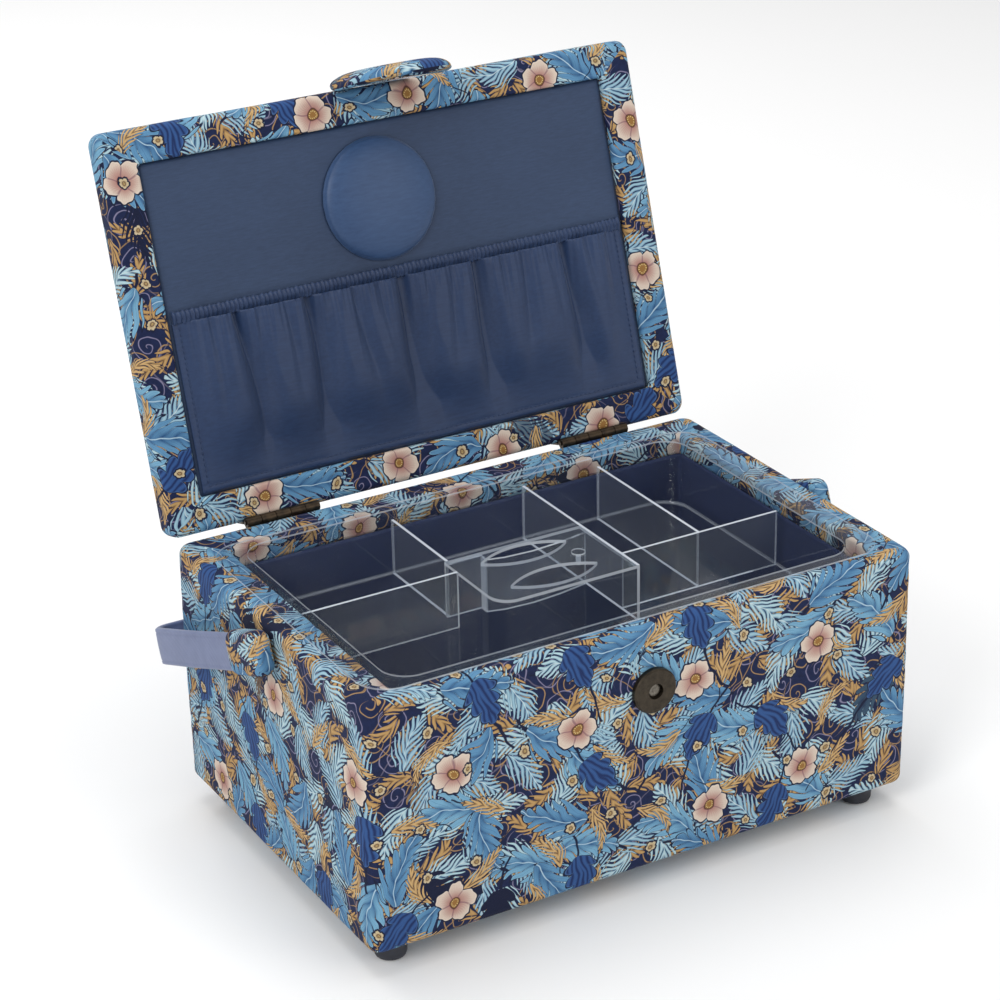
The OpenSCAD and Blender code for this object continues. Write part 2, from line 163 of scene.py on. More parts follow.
class Loft:
    """a stack of rounded rectangles with cloth coordinates in millimetres: along the sides, and across from ring to ring"""

    def __init__(self, nx, ny, nc):
        self.nx, self.ny, self.nc = nx, ny, nc
        self.rings = []
        self.start = []
        k = 0
        for n in (nx, ny, nx, ny):
            self.start.append(k)
            k += n + nc
        self.n = k

    def add(self, x0, x1, y0, y1, z, r, flat=False):
        self.rings.append((x0, x1, y0, y1, z, max(r, 0.3), flat))

    def side_of(self, i):
        """side of the face between point i and i+1"""
        ns = (self.nx, self.ny, self.nx, self.ny)
        for k in range(4):
            j = i - self.start[k]
            if 0 <= j < ns[k] + self.nc:
                return k if j < ns[k] + self.nc // 2 else (k + 1) % 4

    def along(self, ring, side, i):
        x0, x1, y0, y1, z, r, flat = ring
        ns = (self.nx, self.ny, self.nx, self.ny)
        i = i % self.n
        j = i - self.start[side]
        lo = (x0 + r, y0 + r, -(x1 - r), -(y1 - r))[side]
        hi = (x1 - r, y1 - r, -(x0 + r), -(y0 + r))[side]
        if 0 <= j <= ns[side]:
            return lo + (hi - lo) * j / ns[side]
        if ns[side] < j <= ns[side] + self.nc:
            return hi + r * PI / 2 * (j - ns[side]) / self.nc
        prev = (side - 1) % 4
        j = i - self.start[prev] - ns[prev]
        return lo - r * PI / 2 * (self.nc - j) / self.nc

    def build(self, name, disp=None, cap_start=False, cap_end=False, xf=None, offs=(0, 0, 0, 0), v0=0.0, materials=(), planar_from=None):
        verts, faces, uvs = [], [], []
        across = []
        cur = [v0] * 4
        last = None
        for ring in self.rings:
            if last is not None:
                x0, x1, y0, y1, z = ring[:5]
                d = (y0 - last[2], x1 - last[1], y1 - last[3], x0 - last[0])
                for k in range(4):
                    cur[k] += math.hypot(d[k], z - last[4])
            across.append(list(cur))
            last = ring
        for ri, ring in enumerate(self.rings):
            x0, x1, y0, y1, z, r, flat = ring
            for i, (x, y) in enumerate(ring_points(x0, x1, y0, y1, r, self.nx, self.ny, self.nc)):
                p = (x, y, z)
                verts.append(disp(p, ri, i) if disp else p)
        n = self.n
        for ri in range(len(self.rings) - 1):
            for i in range(n):
                i2 = (i + 1) % n
                faces.append((ri * n + i, ri * n + i2, (ri + 1) * n + i2, (ri + 1) * n + i))
                s = self.side_of(i)
                if planar_from is not None and ri >= planar_from:
                    uvs.append([(verts[q][0] + 40, verts[q][1] + 31) for q in faces[-1]])
                    continue
                f = []
                for rr, ii in ((ri, i), (ri, i + 1), (ri + 1, i + 1), (ri + 1, i)):
                    f.append((self.along(self.rings[rr], s, ii) + offs[s], across[rr][s]))
                uvs.append(f)
        if cap_start:
            faces.append(tuple(range(n - 1, -1, -1)))
            uvs.append([(verts[q][0], verts[q][1]) for q in faces[-1]])
        if cap_end:
            b = (len(self.rings) - 1) * n
            faces.append(tuple(b + i for i in range(n)))
            uvs.append([(verts[q][0] + 40, verts[q][1] + 31) for q in faces[-1]])
        return mesh_object(name, verts, faces, uvs, xf, materials)


def puff(ob, pinned=None, pressure=3.0, cap=2.0, frames=16, stiff=12.0, name="cloth"):
    """a short cloth simulation with air pressure inside, its result capped and applied"""
    rest = [v.co.copy() for v in ob.data.vertices]
    if pinned is not None:
        g = ob.vertex_groups.new(name="pin")
        for i, v in enumerate(ob.data.vertices):
            w = pinned(v.co)
            if w > 0:
                g.add([i], w, "REPLACE")
    m = ob.modifiers.new(name, "CLOTH")
    s = m.settings
    s.quality = 6
    s.mass = 0.15
    s.tension_stiffness = stiff
    s.compression_stiffness = stiff
    s.shear_stiffness = 4
    s.bending_stiffness = 0.4
    s.use_pressure = True
    s.uniform_pressure_force = pressure
    s.effector_weights.gravity = 0
    if pinned is not None:
        s.vertex_group_mass = "pin"
        s.pin_stiffness = 1.0
    m.collision_settings.use_collision = False
    m.collision_settings.use_self_collision = False
    m.point_cache.frame_start = 1
    m.point_cache.frame_end = frames
    SCENE.frame_start, SCENE.frame_end = 1, frames
    for f in range(1, frames + 1):
        SCENE.frame_set(f)
    dg = bpy.context.evaluated_depsgraph_get()
    ev = ob.evaluated_get(dg)
    now = [v.co.copy() for v in ev.data.vertices]
    ob.modifiers.clear()
    for v, a, b in zip(ob.data.vertices, rest, now):
        d = b - a
        if not (d.length < 1):
            d = Vector((0, 0, 0))
        if d.length > cap * MM:
            d = d * (cap * MM / d.length)
        v.co = a + d
    ob.vertex_groups.clear()
    SCENE.frame_set(1)
    ob.data.update()
    return ob


# ------------------------------------------------------------------ material helpers
def lin(c):
    out = []
    for v in c:
        v = v / 255.0
        out.append(v / 12.92 if v <= 0.04045 else ((v + 0.055) / 1.055) ** 2.4)
    return (out[0], out[1], out[2], 1.0)


class V:
    """a float socket or a number in a node tree, with arithmetic"""

    def __init__(self, t, s):
        self.t, self.s = t, s

    def _op(self, op, *others, clamp=False):
        n = self.t.nodes.new("ShaderNodeMath")
        n.operation = op
        n.use_clamp = clamp
        for k, o in enumerate((self,) + others):
            if isinstance(o, V):
                self.t.links.new(o.s, n.inputs[k])
            else:
                n.inputs[k].default_value = float(o)
        return V(self.t, n.outputs[0])

    def __add__(self, o):
        return self._op("ADD", o)

    def __radd__(self, o):
        return self._op("ADD", o)

    def __sub__(self, o):
        return self._op("SUBTRACT", o)

    def __rsub__(self, o):
        return self._op("MULTIPLY_ADD", -1.0, o)

    def __mul__(self, o):
        return self._op("MULTIPLY", o)

    def __rmul__(self, o):
        return self._op("MULTIPLY", o)

    def __truediv__(self, o):
        return self._op("DIVIDE", o)

    def mad(self, a, b):
        return self._op("MULTIPLY_ADD", a, b)

    def abs(self):
        return self._op("ABSOLUTE")

    def sin(self):
        return self._op("SINE")

    def sqrt(self):
        return self._op("SQRT")

    def pow(self, p):
        return self._op("POWER", p)

    def fract(self):
        return self._op("FRACT")

    def max(self, o):
        return self._op("MAXIMUM", o)

    def min(self, o):
        return self._op("MINIMUM", o)

    def sat(self, gain=1.0, bias=0.0):
        return self._op("MULTIPLY_ADD", gain, bias, clamp=True)


class Tree:
    def __init__(self, name):
        self.mat = bpy.data.materials.new(name)
        self.mat.use_nodes = True
        self.t = self.mat.node_tree
        self.nodes, self.links = self.t.nodes, self.t.links
        self.bsdf = next(n for n in self.nodes if n.type == "BSDF_PRINCIPLED")
        self.out = next(n for n in self.nodes if n.type == "OUTPUT_MATERIAL")
        self.tc = self.nodes.new("ShaderNodeTexCoord")

    def set(self, **kw):
        for k, v in kw.items():
            self.bsdf.inputs[k.replace("_", " ")].default_value = v
        return self

    def vec(self, src, op, arg=None, arg2=None):
        n = self.nodes.new("ShaderNodeVectorMath")
        n.operation = op
        self.links.new(src, n.inputs[0])
        for k, a in ((1, arg), (2, arg2)):
            if a is None:
                continue
            if isinstance(a, (tuple, list)):
                n.inputs[k].default_value = a
            elif isinstance(a, (int, float)):
                n.inputs["Scale"].default_value = a
            else:
                self.links.new(a, n.inputs[k])
        return n.outputs[0]

    def scaled(self, x, y=None, z=None, which="Object"):
        y = x if y is None else y
        z = x if z is None else z
        return self.vec(self.tc.outputs[which], "MULTIPLY", (x, y, z))

    def noise(self, src, scale, detail=2.0, rough=0.5, distortion=0.0):
        n = self.nodes.new("ShaderNodeTexNoise")
        self.links.new(src, n.inputs["Vector"])
        n.inputs["Scale"].default_value = scale
        n.inputs["Detail"].default_value = detail
        n.inputs["Roughness"].default_value = rough
        n.inputs["Distortion"].default_value = distortion
        return V(self.t, n.outputs[0])

    def sep(self, src):
        n = self.nodes.new("ShaderNodeSeparateXYZ")
        self.links.new(src, n.inputs[0])
        return [V(self.t, n.outputs[k]) for k in range(3)]

    def mix(self, fac, a, b, mode="MIX"):
        n = self.nodes.new("ShaderNodeMix")
        n.data_type = "RGBA"
        n.blend_type = mode
        for sock, val in ((n.inputs[0], fac), (n.inputs[6], a), (n.inputs[7], b)):
            if isinstance(val, V):
                self.links.new(val.s, sock)
            elif isinstance(val, (tuple, list)):
                sock.default_value = val if len(val) == 4 else tuple(val) + (1,)
            elif isinstance(val, (int, float)):
                sock.default_value = val
            else:
                self.links.new(val, sock)
        return n.outputs[2]

    def color(self, src):
        self.links.new(src, self.bsdf.inputs["Base Color"])
        return self

    def rough(self, v):
        self.links.new(v.s, self.bsdf.inputs["Roughness"])
        return self

    def bump(self, v, distance_mm, strength=1.0):
        n = self.nodes.new("ShaderNodeBump")
        n.inputs["Strength"].default_value = strength
        n.inputs["Distance"].default_value = distance_mm * MM
        self.links.new(v.s, n.inputs["Height"])
        self.links.new(n.outputs[0], self.bsdf.inputs["Normal"])
        return self

    def ramp_noise_color(self, a, b, src, scale, detail=3.0):
        f = self.noise(src, scale, detail).sat(1.6, -0.3)
        self.color(self.mix(f, lin(a), lin(b)))
        return f


# ------------------------------------------------------------------ the print: an own, generic botanical design
def print_material(name, seed=0.0):
    T = Tree(name)
    uv = T.vec(T.tc.outputs["UV"], "MULTIPLY", (116, 116, 0))
    uv = T.vec(uv, "ADD", (seed * 37.3, seed * 19.7, 0))
    # slight wobble so that no stamp looks mechanical
    wob = T.nodes.new("ShaderNodeTexNoise")
    wob.noise_dimensions = "2D"
    T.links.new(uv, wob.inputs["Vector"])
    wob.inputs["Scale"].default_value = 0.09
    wob.inputs["Detail"].default_value = 1.0
    w2 = T.vec(wob.outputs["Color"], "MULTIPLY_ADD", (4.0, 4.0, 0.0), (-2.0, -2.0, 0.0))
    p = T.vec(uv, "ADD", w2)

    def cell(size, sd, ox=0.0, oy=0.0, jitter=0.25, turn=None, stagger=False):
        q = T.vec(p, "MULTIPLY_ADD", (1 / size, 1 / size, 0), (ox, oy, 0))
        fl = T.vec(q, "FLOOR")
        fr = T.vec(q, "FRACTION")
        wn = T.nodes.new("ShaderNodeTexWhiteNoise")
        wn.noise_dimensions = "2D"
        T.links.new(T.vec(fl, "ADD", (sd, sd * 1.7, 0)), wn.inputs["Vector"])
        col = wn.outputs["Color"]
        jit = T.vec(col, "MULTIPLY_ADD", (-jitter, -jitter, 0), (jitter / 2 - 0.5, jitter / 2 - 0.5, 0))
        loc = T.vec(T.vec(fr, "ADD", jit), "MULTIPLY", (size, size, 0))
        rnd = T.sep(col)
        rot = T.nodes.new("ShaderNodeVectorRotate")
        rot.rotation_type = "Z_AXIS"
        T.links.new(loc, rot.inputs["Vector"])
        lo, hi = turn if turn else (0.0, 2 * PI)
        T.links.new(rnd[2].mad(hi - lo, lo).s, rot.inputs["Angle"])
        x, y, _ = T.sep(rot.outputs[0])
        return x, y, rnd

    def leaf(x, y, L, W, n, deep, power=1.0, bend=0.0, slant=0.5, rnd=None):
        """returns distance inside the outline (mm), the lobe wave and the distance from the midrib"""
        t = x * (1.0 / L)
        t2 = t * t
        yb = y - t2 * (bend * L) if rnd is None else y - t2 * ((rnd - 0.5) * (2 * bend * L))
        ay = yb.abs()
        lobe = ((t - ay * (slant / W)) * (PI * n)).sin().abs().pow(power)
        prof = (1.0 - t2).max(0.0).pow(0.6) * (1.0 - t * 0.35) * W
        edge = prof * lobe.mad(deep, 1.0 - deep)
        return edge - ay, lobe, ay, t

    dark = lin((11, 21, 52))
    ground = T.mix(T.noise(p, 0.35, 2.0).sat(2.0, -0.5), lin((13, 25, 60)), lin((20, 35, 76)))
    col = ground
    X, Y, _ = T.sep(p)

    # scrolling stems in two families
    def stem(col, a, b, amp, lam, pitch, width, colour):
        w = (a * (2 * PI / lam)).sin()
        q = ((b - w * amp) * (1.0 / pitch)).fract() - 0.5
        m = (width - q.abs() * pitch).sat(3.0)
        return T.mix(m, col, lin(colour))

    col = stem(col, X, Y, 9.0, 47.0, 26.0, 0.55, (92, 88, 110))
    col = stem(col, Y, X, 8.0, 39.0, 31.0, 0.5, (150, 118, 82))

    # curls
    for sd, ox, c in ((3.0, 0.0, (133, 128, 158)), (5.0, 0.5, (168, 134, 92))):
        x, y, rnd = cell(21.0, sd, ox, ox, 0.2)
        r = (x * x + y * y).sqrt()
        a = y._op("ARCTAN2", x)
        s = (a * (1 / (2 * PI)) + r * 0.26).fract() - 0.5
        m = (0.42 - (s.abs() * 3.85)).min((8.5 - r)).sat(3.0)
        col = T.mix(m, col, lin(c))

    def stamp(col, d, fill, border=0.55, soft=3.0):
        col = T.mix((d + border).sat(soft), col, dark)
        return T.mix(d.sat(soft), col, fill)

    def gate(d, g):
        """hides a stamp where the cell's draw g is negative"""
        return d.min(g * 60.0)

    # ochre twigs
    for sd, ox, oy in ((11.0, 0.1, 0.35), (13.0, 0.6, 0.85)):
        x, y, rnd = cell(23.0, sd, ox, oy, 0.3)
        d, lobe, ay, t = leaf(x, y, 11.0, 4.8, 2.0, 0.96, 1.1, 0.4, 0.9, rnd[0])
        rib = (0.42 - ay).min(10.5 - x.abs())
        fill = T.mix(lobe.sat(1.0), lin((112, 82, 52)), lin((190, 152, 98)))
        col = stamp(col, gate(d.max(rib), rnd[1] - 0.36), fill, 0.45)

    # pale thistle-like sprays
    for sd, ox, oy, c1, c2 in ((17.0, 0.2, 0.7, (76, 118, 150), (178, 208, 216)), (19.0, 0.7, 0.2, (62, 104, 142), (156, 192, 208))):
        x, y, rnd = cell(30.0, sd, ox, oy, 0.28)
        d, lobe, ay, t = leaf(x, y, 14.5, 8.4, 3.0, 0.97, 1.25, 0.34, 1.15, rnd[0])
        rib = (0.4 - ay).min(13.8 - x.abs())
        fill = T.mix(lobe.sat(1.3, -0.25), lin(c1), lin(c2))
        fill = T.mix((0.3 - ay).sat(4.0), fill, lin((200, 216, 220)))
        col = stamp(col, gate(d.max(rib), rnd[1] - 0.26), fill, 0.6)

    # blue lobed leaves
    for sd, ox, oy, g, c1, c2 in ((23.0, 0.35, 0.1, 0.27, (40, 88, 134), (118, 168, 198)), (29.0, 0.85, 0.6, 0.55, (34, 78, 124), (94, 144, 182))):
        x, y, rnd = cell(40.0, sd, ox, oy, 0.2)
        d, lobe, ay, t = leaf(x, y, 19.0, 10.4, 2.5, 0.86, 0.7, 0.4, 0.95, rnd[0])
        _, vein, _, _ = leaf(x, y, 19.0, 10.4, 5.0, 0.5, 0.5, 0.4, 0.95, rnd[0])
        fill = T.mix((ay * 0.13 + lobe * 0.55).sat(1.2, -0.2), lin(c1), lin(c2))
        fill = T.mix(vein.sat(-3.4, 1.15), fill, lin((26, 60, 112)))
        fill = T.mix((0.36 - ay).sat(3.5), fill, lin((176, 204, 220)))
        fill = T.mix((0.9 - d).sat(1.2, -0.1), fill, lin((150, 192, 216)))
        d = gate(d, rnd[1] - g)
        col = stamp(col, d, fill, 1.0)

    # a last, thin layer of ochre leaflets over the leaves
    x, y, rnd = cell(33.0, 47.0, 0.3, 0.8, 0.3)
    d, lobe, ay, t = leaf(x, y, 13.0, 4.4, 2.5, 0.97, 1.2, 0.5, 1.0, rnd[0])
    rib = (0.4 - ay).min(12.4 - x.abs())
    fill = T.mix(lobe.sat(1.0), lin((120, 88, 56)), lin((206, 170, 116)))
    col = stamp(col, gate(d.max(rib), rnd[1] - 0.35), fill, 0.5)

    # deep blue bell flowers
    x, y, rnd = cell(56.0, 31.0, 0.15, 0.55, 0.3, (0.6, 2.5))
    d, lobe, ay, t = leaf(x, y, 12.5, 8.6, 1.5, 0.5, 0.7, 0.12, 0.5, rnd[0])
    streak = ((ay - t * 1.4) * 1.15).sin().abs()
    fill = T.mix(streak.sat(1.6, -0.5), lin((22, 44, 92)), lin((48, 84, 140)))
    fill = T.mix((0.8 - d).sat(1.0), fill, lin((88, 128, 182)))
    col = stamp(col, gate(d, rnd[1] - 0.45), fill, 0.8)

    # open flowers with five petals
    def flower(col, size, sd, ox, oy, R, petal, deep_c, centre, streaks=True, g=0.0):
        x, y, rnd = cell(size, sd, ox, oy, 0.3)
        r = (x * x + y * y).sqrt()
        a = y._op("ARCTAN2", x)
        c5 = (a * 2.5).sin().abs()
        frill = (a * 15.0).sin() * (R * 0.03)
        d = c5.pow(0.6).mad(R * 0.3, R * 0.72) + frill - r
        fill = T.mix((r * (1.0 / R)).sat(1.9, -0.55), lin(deep_c), lin(petal))
        if streaks:
            st = (a * 22.5).sin().abs()
            fill = T.mix((st * (1.0 - r * (1.0 / R))).sat(0.8, -0.1), fill, lin((164, 104, 104)))
            fill = T.mix((0.36 - c5 * (r * 0.26)).sat(2.2), fill, lin((120, 82, 96)))
            fill = T.mix((1.2 - d).sat(0.9, -0.3), fill, lin((240, 228, 214)))
        core = R * 0.25 - r
        fill = T.mix((core + 0.7).sat(2.0), fill, lin((86, 54, 46)))
        fill = T.mix(core.sat(2.0), fill, lin(centre))
        dots = (a * 6.0).sin().abs() - (r - R * 0.17).abs() * 0.9
        fill = T.mix(dots.sat(3.0, -1.6), fill, lin((226, 202, 138)))
        return stamp(col, gate(d, rnd[1] - g) if g else d, fill, 0.9)

    col = flower(col, 66.0, 37.0, 0.05, 0.3, 10.5, (216, 198, 182), (178, 134, 122), (150, 108, 56), True, 0.3)
    col = flower(col, 25.0, 41.0, 0.4, 0.45, 2.7, (206, 190, 156), (176, 148, 104), (132, 94, 54), False, 0.55)
    # thread to thread variation
    weave = T.noise(T.vec(p, "MULTIPLY", (2.2, 2.2, 0)), 1.0, 2.0, 0.7)
    col = T.mix(weave.sat(1.0, 0.0), T.mix(0.84, (0, 0, 0, 1), col), T.mix(0.008, col, (1, 1, 1, 1)))
    T.color(col)
    T.set(Roughness=0.78)
    T.bsdf.inputs["Specular IOR Level"].default_value = 0.2
    T.bsdf.inputs["Sheen Weight"].default_value = 0.01
    T.bsdf.inputs["Sheen Roughness"].default_value = 0.5
    # plain weave of about 0.45 mm threads, and a soft unevenness below it
    ux, uy, _ = T.sep(T.vec(uv, "MULTIPLY", (2 * PI / 0.9, 2 * PI / 0.9, 0)))
    wv = ux.sin() * uy.sin()
    T.bump(wv * 0.35 + weave * 0.8, 0.12, 0.7)
    return T.mat


PRINT = print_material("printed_cotton", 0.0)


def cloth_material(name, c1, c2, rough=0.62, sheen=0.35, slub=(60, 900, 900), bump=0.06, scale=1.0):
    T = Tree(name)
    s = T.scaled(*slub)
    n1 = T.noise(s, 1.0 * scale, 3.0, 0.6)
    n2 = T.noise(T.scaled(22), 1.0, 2.0)
    f = (n1 * 0.65 + n2 * 0.45).sat(2.2, -0.72)
    T.color(T.mix(f, lin(c1), lin(c2)))
    fine = T.scaled(2 * PI / 0.0007)
    x, y, z = T.sep(fine)
    wv = x.sin() * (y + z).sin()
    T.bump(n1 * 0.7 + wv * 0.3, bump, 0.8)
    T.set(Roughness=rough)
    T.bsdf.inputs["Sheen Weight"].default_value = sheen
    T.bsdf.inputs["Sheen Roughness"].default_value = 0.4
    T.bsdf.inputs["Specular IOR Level"].default_value = 0.4
    return T.mat


SATIN = cloth_material("satin_lining", (37, 54, 82), (49, 68, 99), 0.6, 0.1, (220, 1300, 1300), 0.05)
SATIN_POCKET = cloth_material("satin_pocket", (25, 44, 77), (37, 59, 96), 0.48, 0.14, (160, 900, 900), 0.03)
SATIN_CUSHION = cloth_material("satin_cushion", (42, 66, 103), (55, 82, 121), 0.45, 0.16, (160, 900, 900), 0.03)
LINING = cloth_material("navy_lining", (29, 41, 76), (40, 54, 94), 0.7, 0.2, (500, 500, 500), 0.08)


def strap_material():
    T = Tree("strap_webbing")
    f = T.noise(T.scaled(180, 180, 180), 1.0, 3.0)
    T.color(T.mix(f.sat(1.5, -0.25), lin((74, 88, 128)), lin((92, 106, 146))))
    x, y, z = T.sep(T.scaled(2 * PI / 0.0011))
    T.bump(x.sin() * (y + z * 0.6).sin() * 0.5 + f * 0.5, 0.08, 0.6)
    T.set(Roughness=0.6)
    T.bsdf.inputs["Sheen Weight"].default_value = 0.3
    return T.mat


STRAP = strap_material()


def metal_material(name, c1, c2, rough, scale=260, bump=0.03, metallic=0.85):
    T = Tree(name)
    f = T.noise(T.scaled(scale), 1.0, 5.0, 0.65)
    g = T.noise(T.scaled(scale * 5), 1.0, 3.0, 0.7)
    T.color(T.mix(f.sat(2.2, -0.6), lin(c1), lin(c2)))
    T.rough((f * 0.22 + g * 0.12).mad(1.0, rough - 0.17))
    T.bump(g * 0.5 + f * 0.5, bump, 0.7)
    T.set(Metallic=metallic)
    return T.mat


BRONZE = metal_material("dark_bronze", (44, 39, 33), (76, 68, 57), 0.38)
BRASS_DARK = metal_material("aged_brass", (36, 31, 28), (80, 66, 50), 0.42)
STEEL = metal_material("steel", (150, 152, 156), (196, 198, 200), 0.32, 500, 0.02, 1.0)
MAGNET = metal_material("magnet_face", (92, 86, 78), (136, 130, 120), 0.45, 500, 0.02, 0.8)


def rubber_material():
    T = Tree("foot_rubber")
    f = T.noise(T.scaled(700), 1.0, 4.0, 0.6)
    g = T.noise(T.scaled(120), 1.0, 2.0)
    T.color(T.mix(g.sat(1.8, -0.4), lin((30, 32, 40)), lin((54, 56, 66))))
    T.rough(f * 0.25 + 0.42)
    T.bump(f, 0.05, 0.6)
    return T.mat


RUBBER = rubber_material()


def fibre_material(name, c1, c2, scale=(200, 1500, 1500), rough=0.85):
    T = Tree(name)
    f = T.noise(T.scaled(*scale), 1.0, 4.0, 0.65)
    T.color(T.mix(f.sat(1.8, -0.4), lin(c1), lin(c2)))
    T.bump(f, 0.12, 0.8)
    T.set(Roughness=rough)
    return T.mat


BOARD = fibre_material("grey_board", (150, 132, 108), (186, 168, 140))
WADDING = fibre_material("wadding", (214, 210, 200), (236, 233, 226), (300, 300, 300), 0.95)
CARD = fibre_material("card", (176, 158, 130), (200, 184, 158), (500, 500, 500))
THREAD = fibre_material("stitch_thread", (30, 46, 78), (52, 72, 108), (1500, 1500, 1500), 0.7)


def plastic_material(name, edge, pane, tint, axis, highlight_bands=(), shine_gain=1.3):
    """clear styrene: mostly seen through, with mirror-like gloss, and a painted highlight, a white diffuse, on its
    narrow top faces
    """
    m = bpy.data.materials.new(name)
    m.use_nodes = True
    t = m.node_tree
    t.nodes.clear()
    L = t.links

    def new(kind):
        return t.nodes.new(kind)

    out = new("ShaderNodeOutputMaterial")
    tc = new("ShaderNodeTexCoord")
    mp = new("ShaderNodeVectorMath")
    mp.operation = "MULTIPLY"
    mp.inputs[1].default_value = (45, 45, 45)
    L.new(tc.outputs["Object"], mp.inputs[0])
    nzt = new("ShaderNodeTexNoise")
    L.new(mp.outputs[0], nzt.inputs["Vector"])
    nzt.inputs["Scale"].default_value = 1.0
    nzt.inputs["Detail"].default_value = 2.0
    bump = new("ShaderNodeBump")
    bump.inputs["Strength"].default_value = 0.25
    bump.inputs["Distance"].default_value = 0.0004
    L.new(nzt.outputs[0], bump.inputs["Height"])
    clear = new("ShaderNodeBsdfTransparent")
    clear.inputs["Color"].default_value = tint
    gloss = new("ShaderNodeBsdfGlossy")
    gloss.inputs["Color"].default_value = (1, 1, 1, 1)
    gloss.inputs["Roughness"].default_value = 0.04
    L.new(bump.outputs[0], gloss.inputs["Normal"])
    fres = new("ShaderNodeFresnel")
    fres.inputs["IOR"].default_value = 1.5
    L.new(bump.outputs[0], fres.inputs["Normal"])
    boost = new("ShaderNodeMath")
    boost.operation = "MULTIPLY_ADD"
    boost.use_clamp = True
    boost.inputs[1].default_value = shine_gain
    boost.inputs[2].default_value = 0.008
    L.new(fres.outputs[0], boost.inputs[0])
    geo = new("ShaderNodeNewGeometry")
    front = new("ShaderNodeMath")
    front.operation = "SUBTRACT"
    front.inputs[0].default_value = 1.0
    L.new(geo.outputs["Backfacing"], front.inputs[1])
    shine = new("ShaderNodeMath")
    shine.operation = "MULTIPLY"
    L.new(boost.outputs[0], shine.inputs[0])
    L.new(front.outputs[0], shine.inputs[1])
    mix1 = new("ShaderNodeMixShader")
    L.new(shine.outputs[0], mix1.inputs[0])
    L.new(clear.outputs[0], mix1.inputs[1])
    L.new(gloss.outputs[0], mix1.inputs[2])
    # painted highlight: a white diffuse on the narrow edge faces stands in for the light that runs inside the plastic
    sx = new("ShaderNodeSeparateXYZ")
    L.new(geo.outputs["True Normal"], sx.inputs[0])
    posz = new("ShaderNodeSeparateXYZ")
    L.new(tc.outputs["Object"], posz.inputs[0])
    flat = new("ShaderNodeMath")
    flat.operation = "ABSOLUTE"
    L.new(sx.outputs[axis], flat.inputs[0])
    side = new("ShaderNodeMath")
    side.operation = "LESS_THAN"
    side.inputs[1].default_value = 0.5
    L.new(flat.outputs[0], side.inputs[0])
    highlight_mask = side
    if highlight_bands:
        # the painted highlight only in thin bands at these heights, such as the rim of the flange and the foot of the
        # wall
        total = None
        for z0, z1, k in highlight_bands:
            mid = new("ShaderNodeMath")
            mid.operation = "SUBTRACT"
            mid.inputs[1].default_value = (z0 + z1) / 2 * MM
            L.new(posz.outputs[2], mid.inputs[0])
            dist = new("ShaderNodeMath")
            dist.operation = "ABSOLUTE"
            L.new(mid.outputs[0], dist.inputs[0])
            near = new("ShaderNodeMath")
            near.operation = "LESS_THAN"
            near.inputs[1].default_value = (z1 - z0) / 2 * MM
            L.new(dist.outputs[0], near.inputs[0])
            amp = new("ShaderNodeMath")
            amp.operation = "MULTIPLY_ADD"
            amp.inputs[1].default_value = k
            L.new(near.outputs[0], amp.inputs[0])
            if total is None:
                amp.inputs[2].default_value = 0.0
            else:
                L.new(total.outputs[0], amp.inputs[2])
            total = amp
        highlight_mask = new("ShaderNodeMath")
        highlight_mask.operation = "MULTIPLY"
        L.new(side.outputs[0], highlight_mask.inputs[0])
        L.new(total.outputs[0], highlight_mask.inputs[1])
    # strength of the painted highlight on the edge faces
    edge_highlight = new("ShaderNodeMath")
    edge_highlight.operation = "MULTIPLY"
    edge_highlight.inputs[1].default_value = edge
    L.new(highlight_mask.outputs[0], edge_highlight.inputs[0])
    base = new("ShaderNodeMath")
    base.operation = "ADD"
    base.inputs[1].default_value = pane
    L.new(edge_highlight.outputs[0], base.inputs[0])
    diff = new("ShaderNodeBsdfDiffuse")
    diff.inputs["Color"].default_value = (0.78, 0.84, 0.92, 1)
    mix2 = new("ShaderNodeMixShader")
    L.new(base.outputs[0], mix2.inputs[0])
    L.new(mix1.outputs[0], mix2.inputs[1])
    L.new(diff.outputs[0], mix2.inputs[2])
    L.new(mix2.outputs[0], out.inputs["Surface"])
    return m


TINT = (0.93, 0.945, 0.96, 1)
# per part: strength of the painted edge highlight, pane diffuse, tint, normal axis, bands of painted highlight, gloss
# gain
PLASTIC = {
    "tray_shell": plastic_material("clear_plastic_shell", 1.0, 0.006, (0.95, 0.96, 0.97, 1), 2, ((123.55, 124.6, 0.42), (91.8, 94.1, 0.22)), 0.75),
    "tray_grip": plastic_material("clear_plastic_grip", 0.6, 0.02, TINT, 2),
    "tray_grip_wall": plastic_material("clear_plastic_grip_wall", 0.4, 0.03, TINT, 1),
    "tray_divider_left_long": plastic_material("clear_plastic_pane_x", 0.62, 0.03, TINT, 0),
    "tray_divider_left_cross": plastic_material("clear_plastic_pane_y", 0.62, 0.03, TINT, 1),
}
for n in ("centre_long", "right_long"):
    PLASTIC["tray_divider_" + n] = PLASTIC["tray_divider_left_long"]
PLASTIC["tray_divider_right_cross"] = PLASTIC["tray_divider_left_cross"]


def finish_node(name, material, bevel=0.0):
    ob = NODES[name]
    ob.data.materials.clear()
    ob.data.materials.append(material)
    if bevel:
        b = ob.modifiers.new("edge", "BEVEL")
        b.width = bevel * MM
        b.segments = 2
        b.limit_method = "ANGLE"
        b.angle_limit = math.radians(40)
        b.harden_normals = False
    return ob


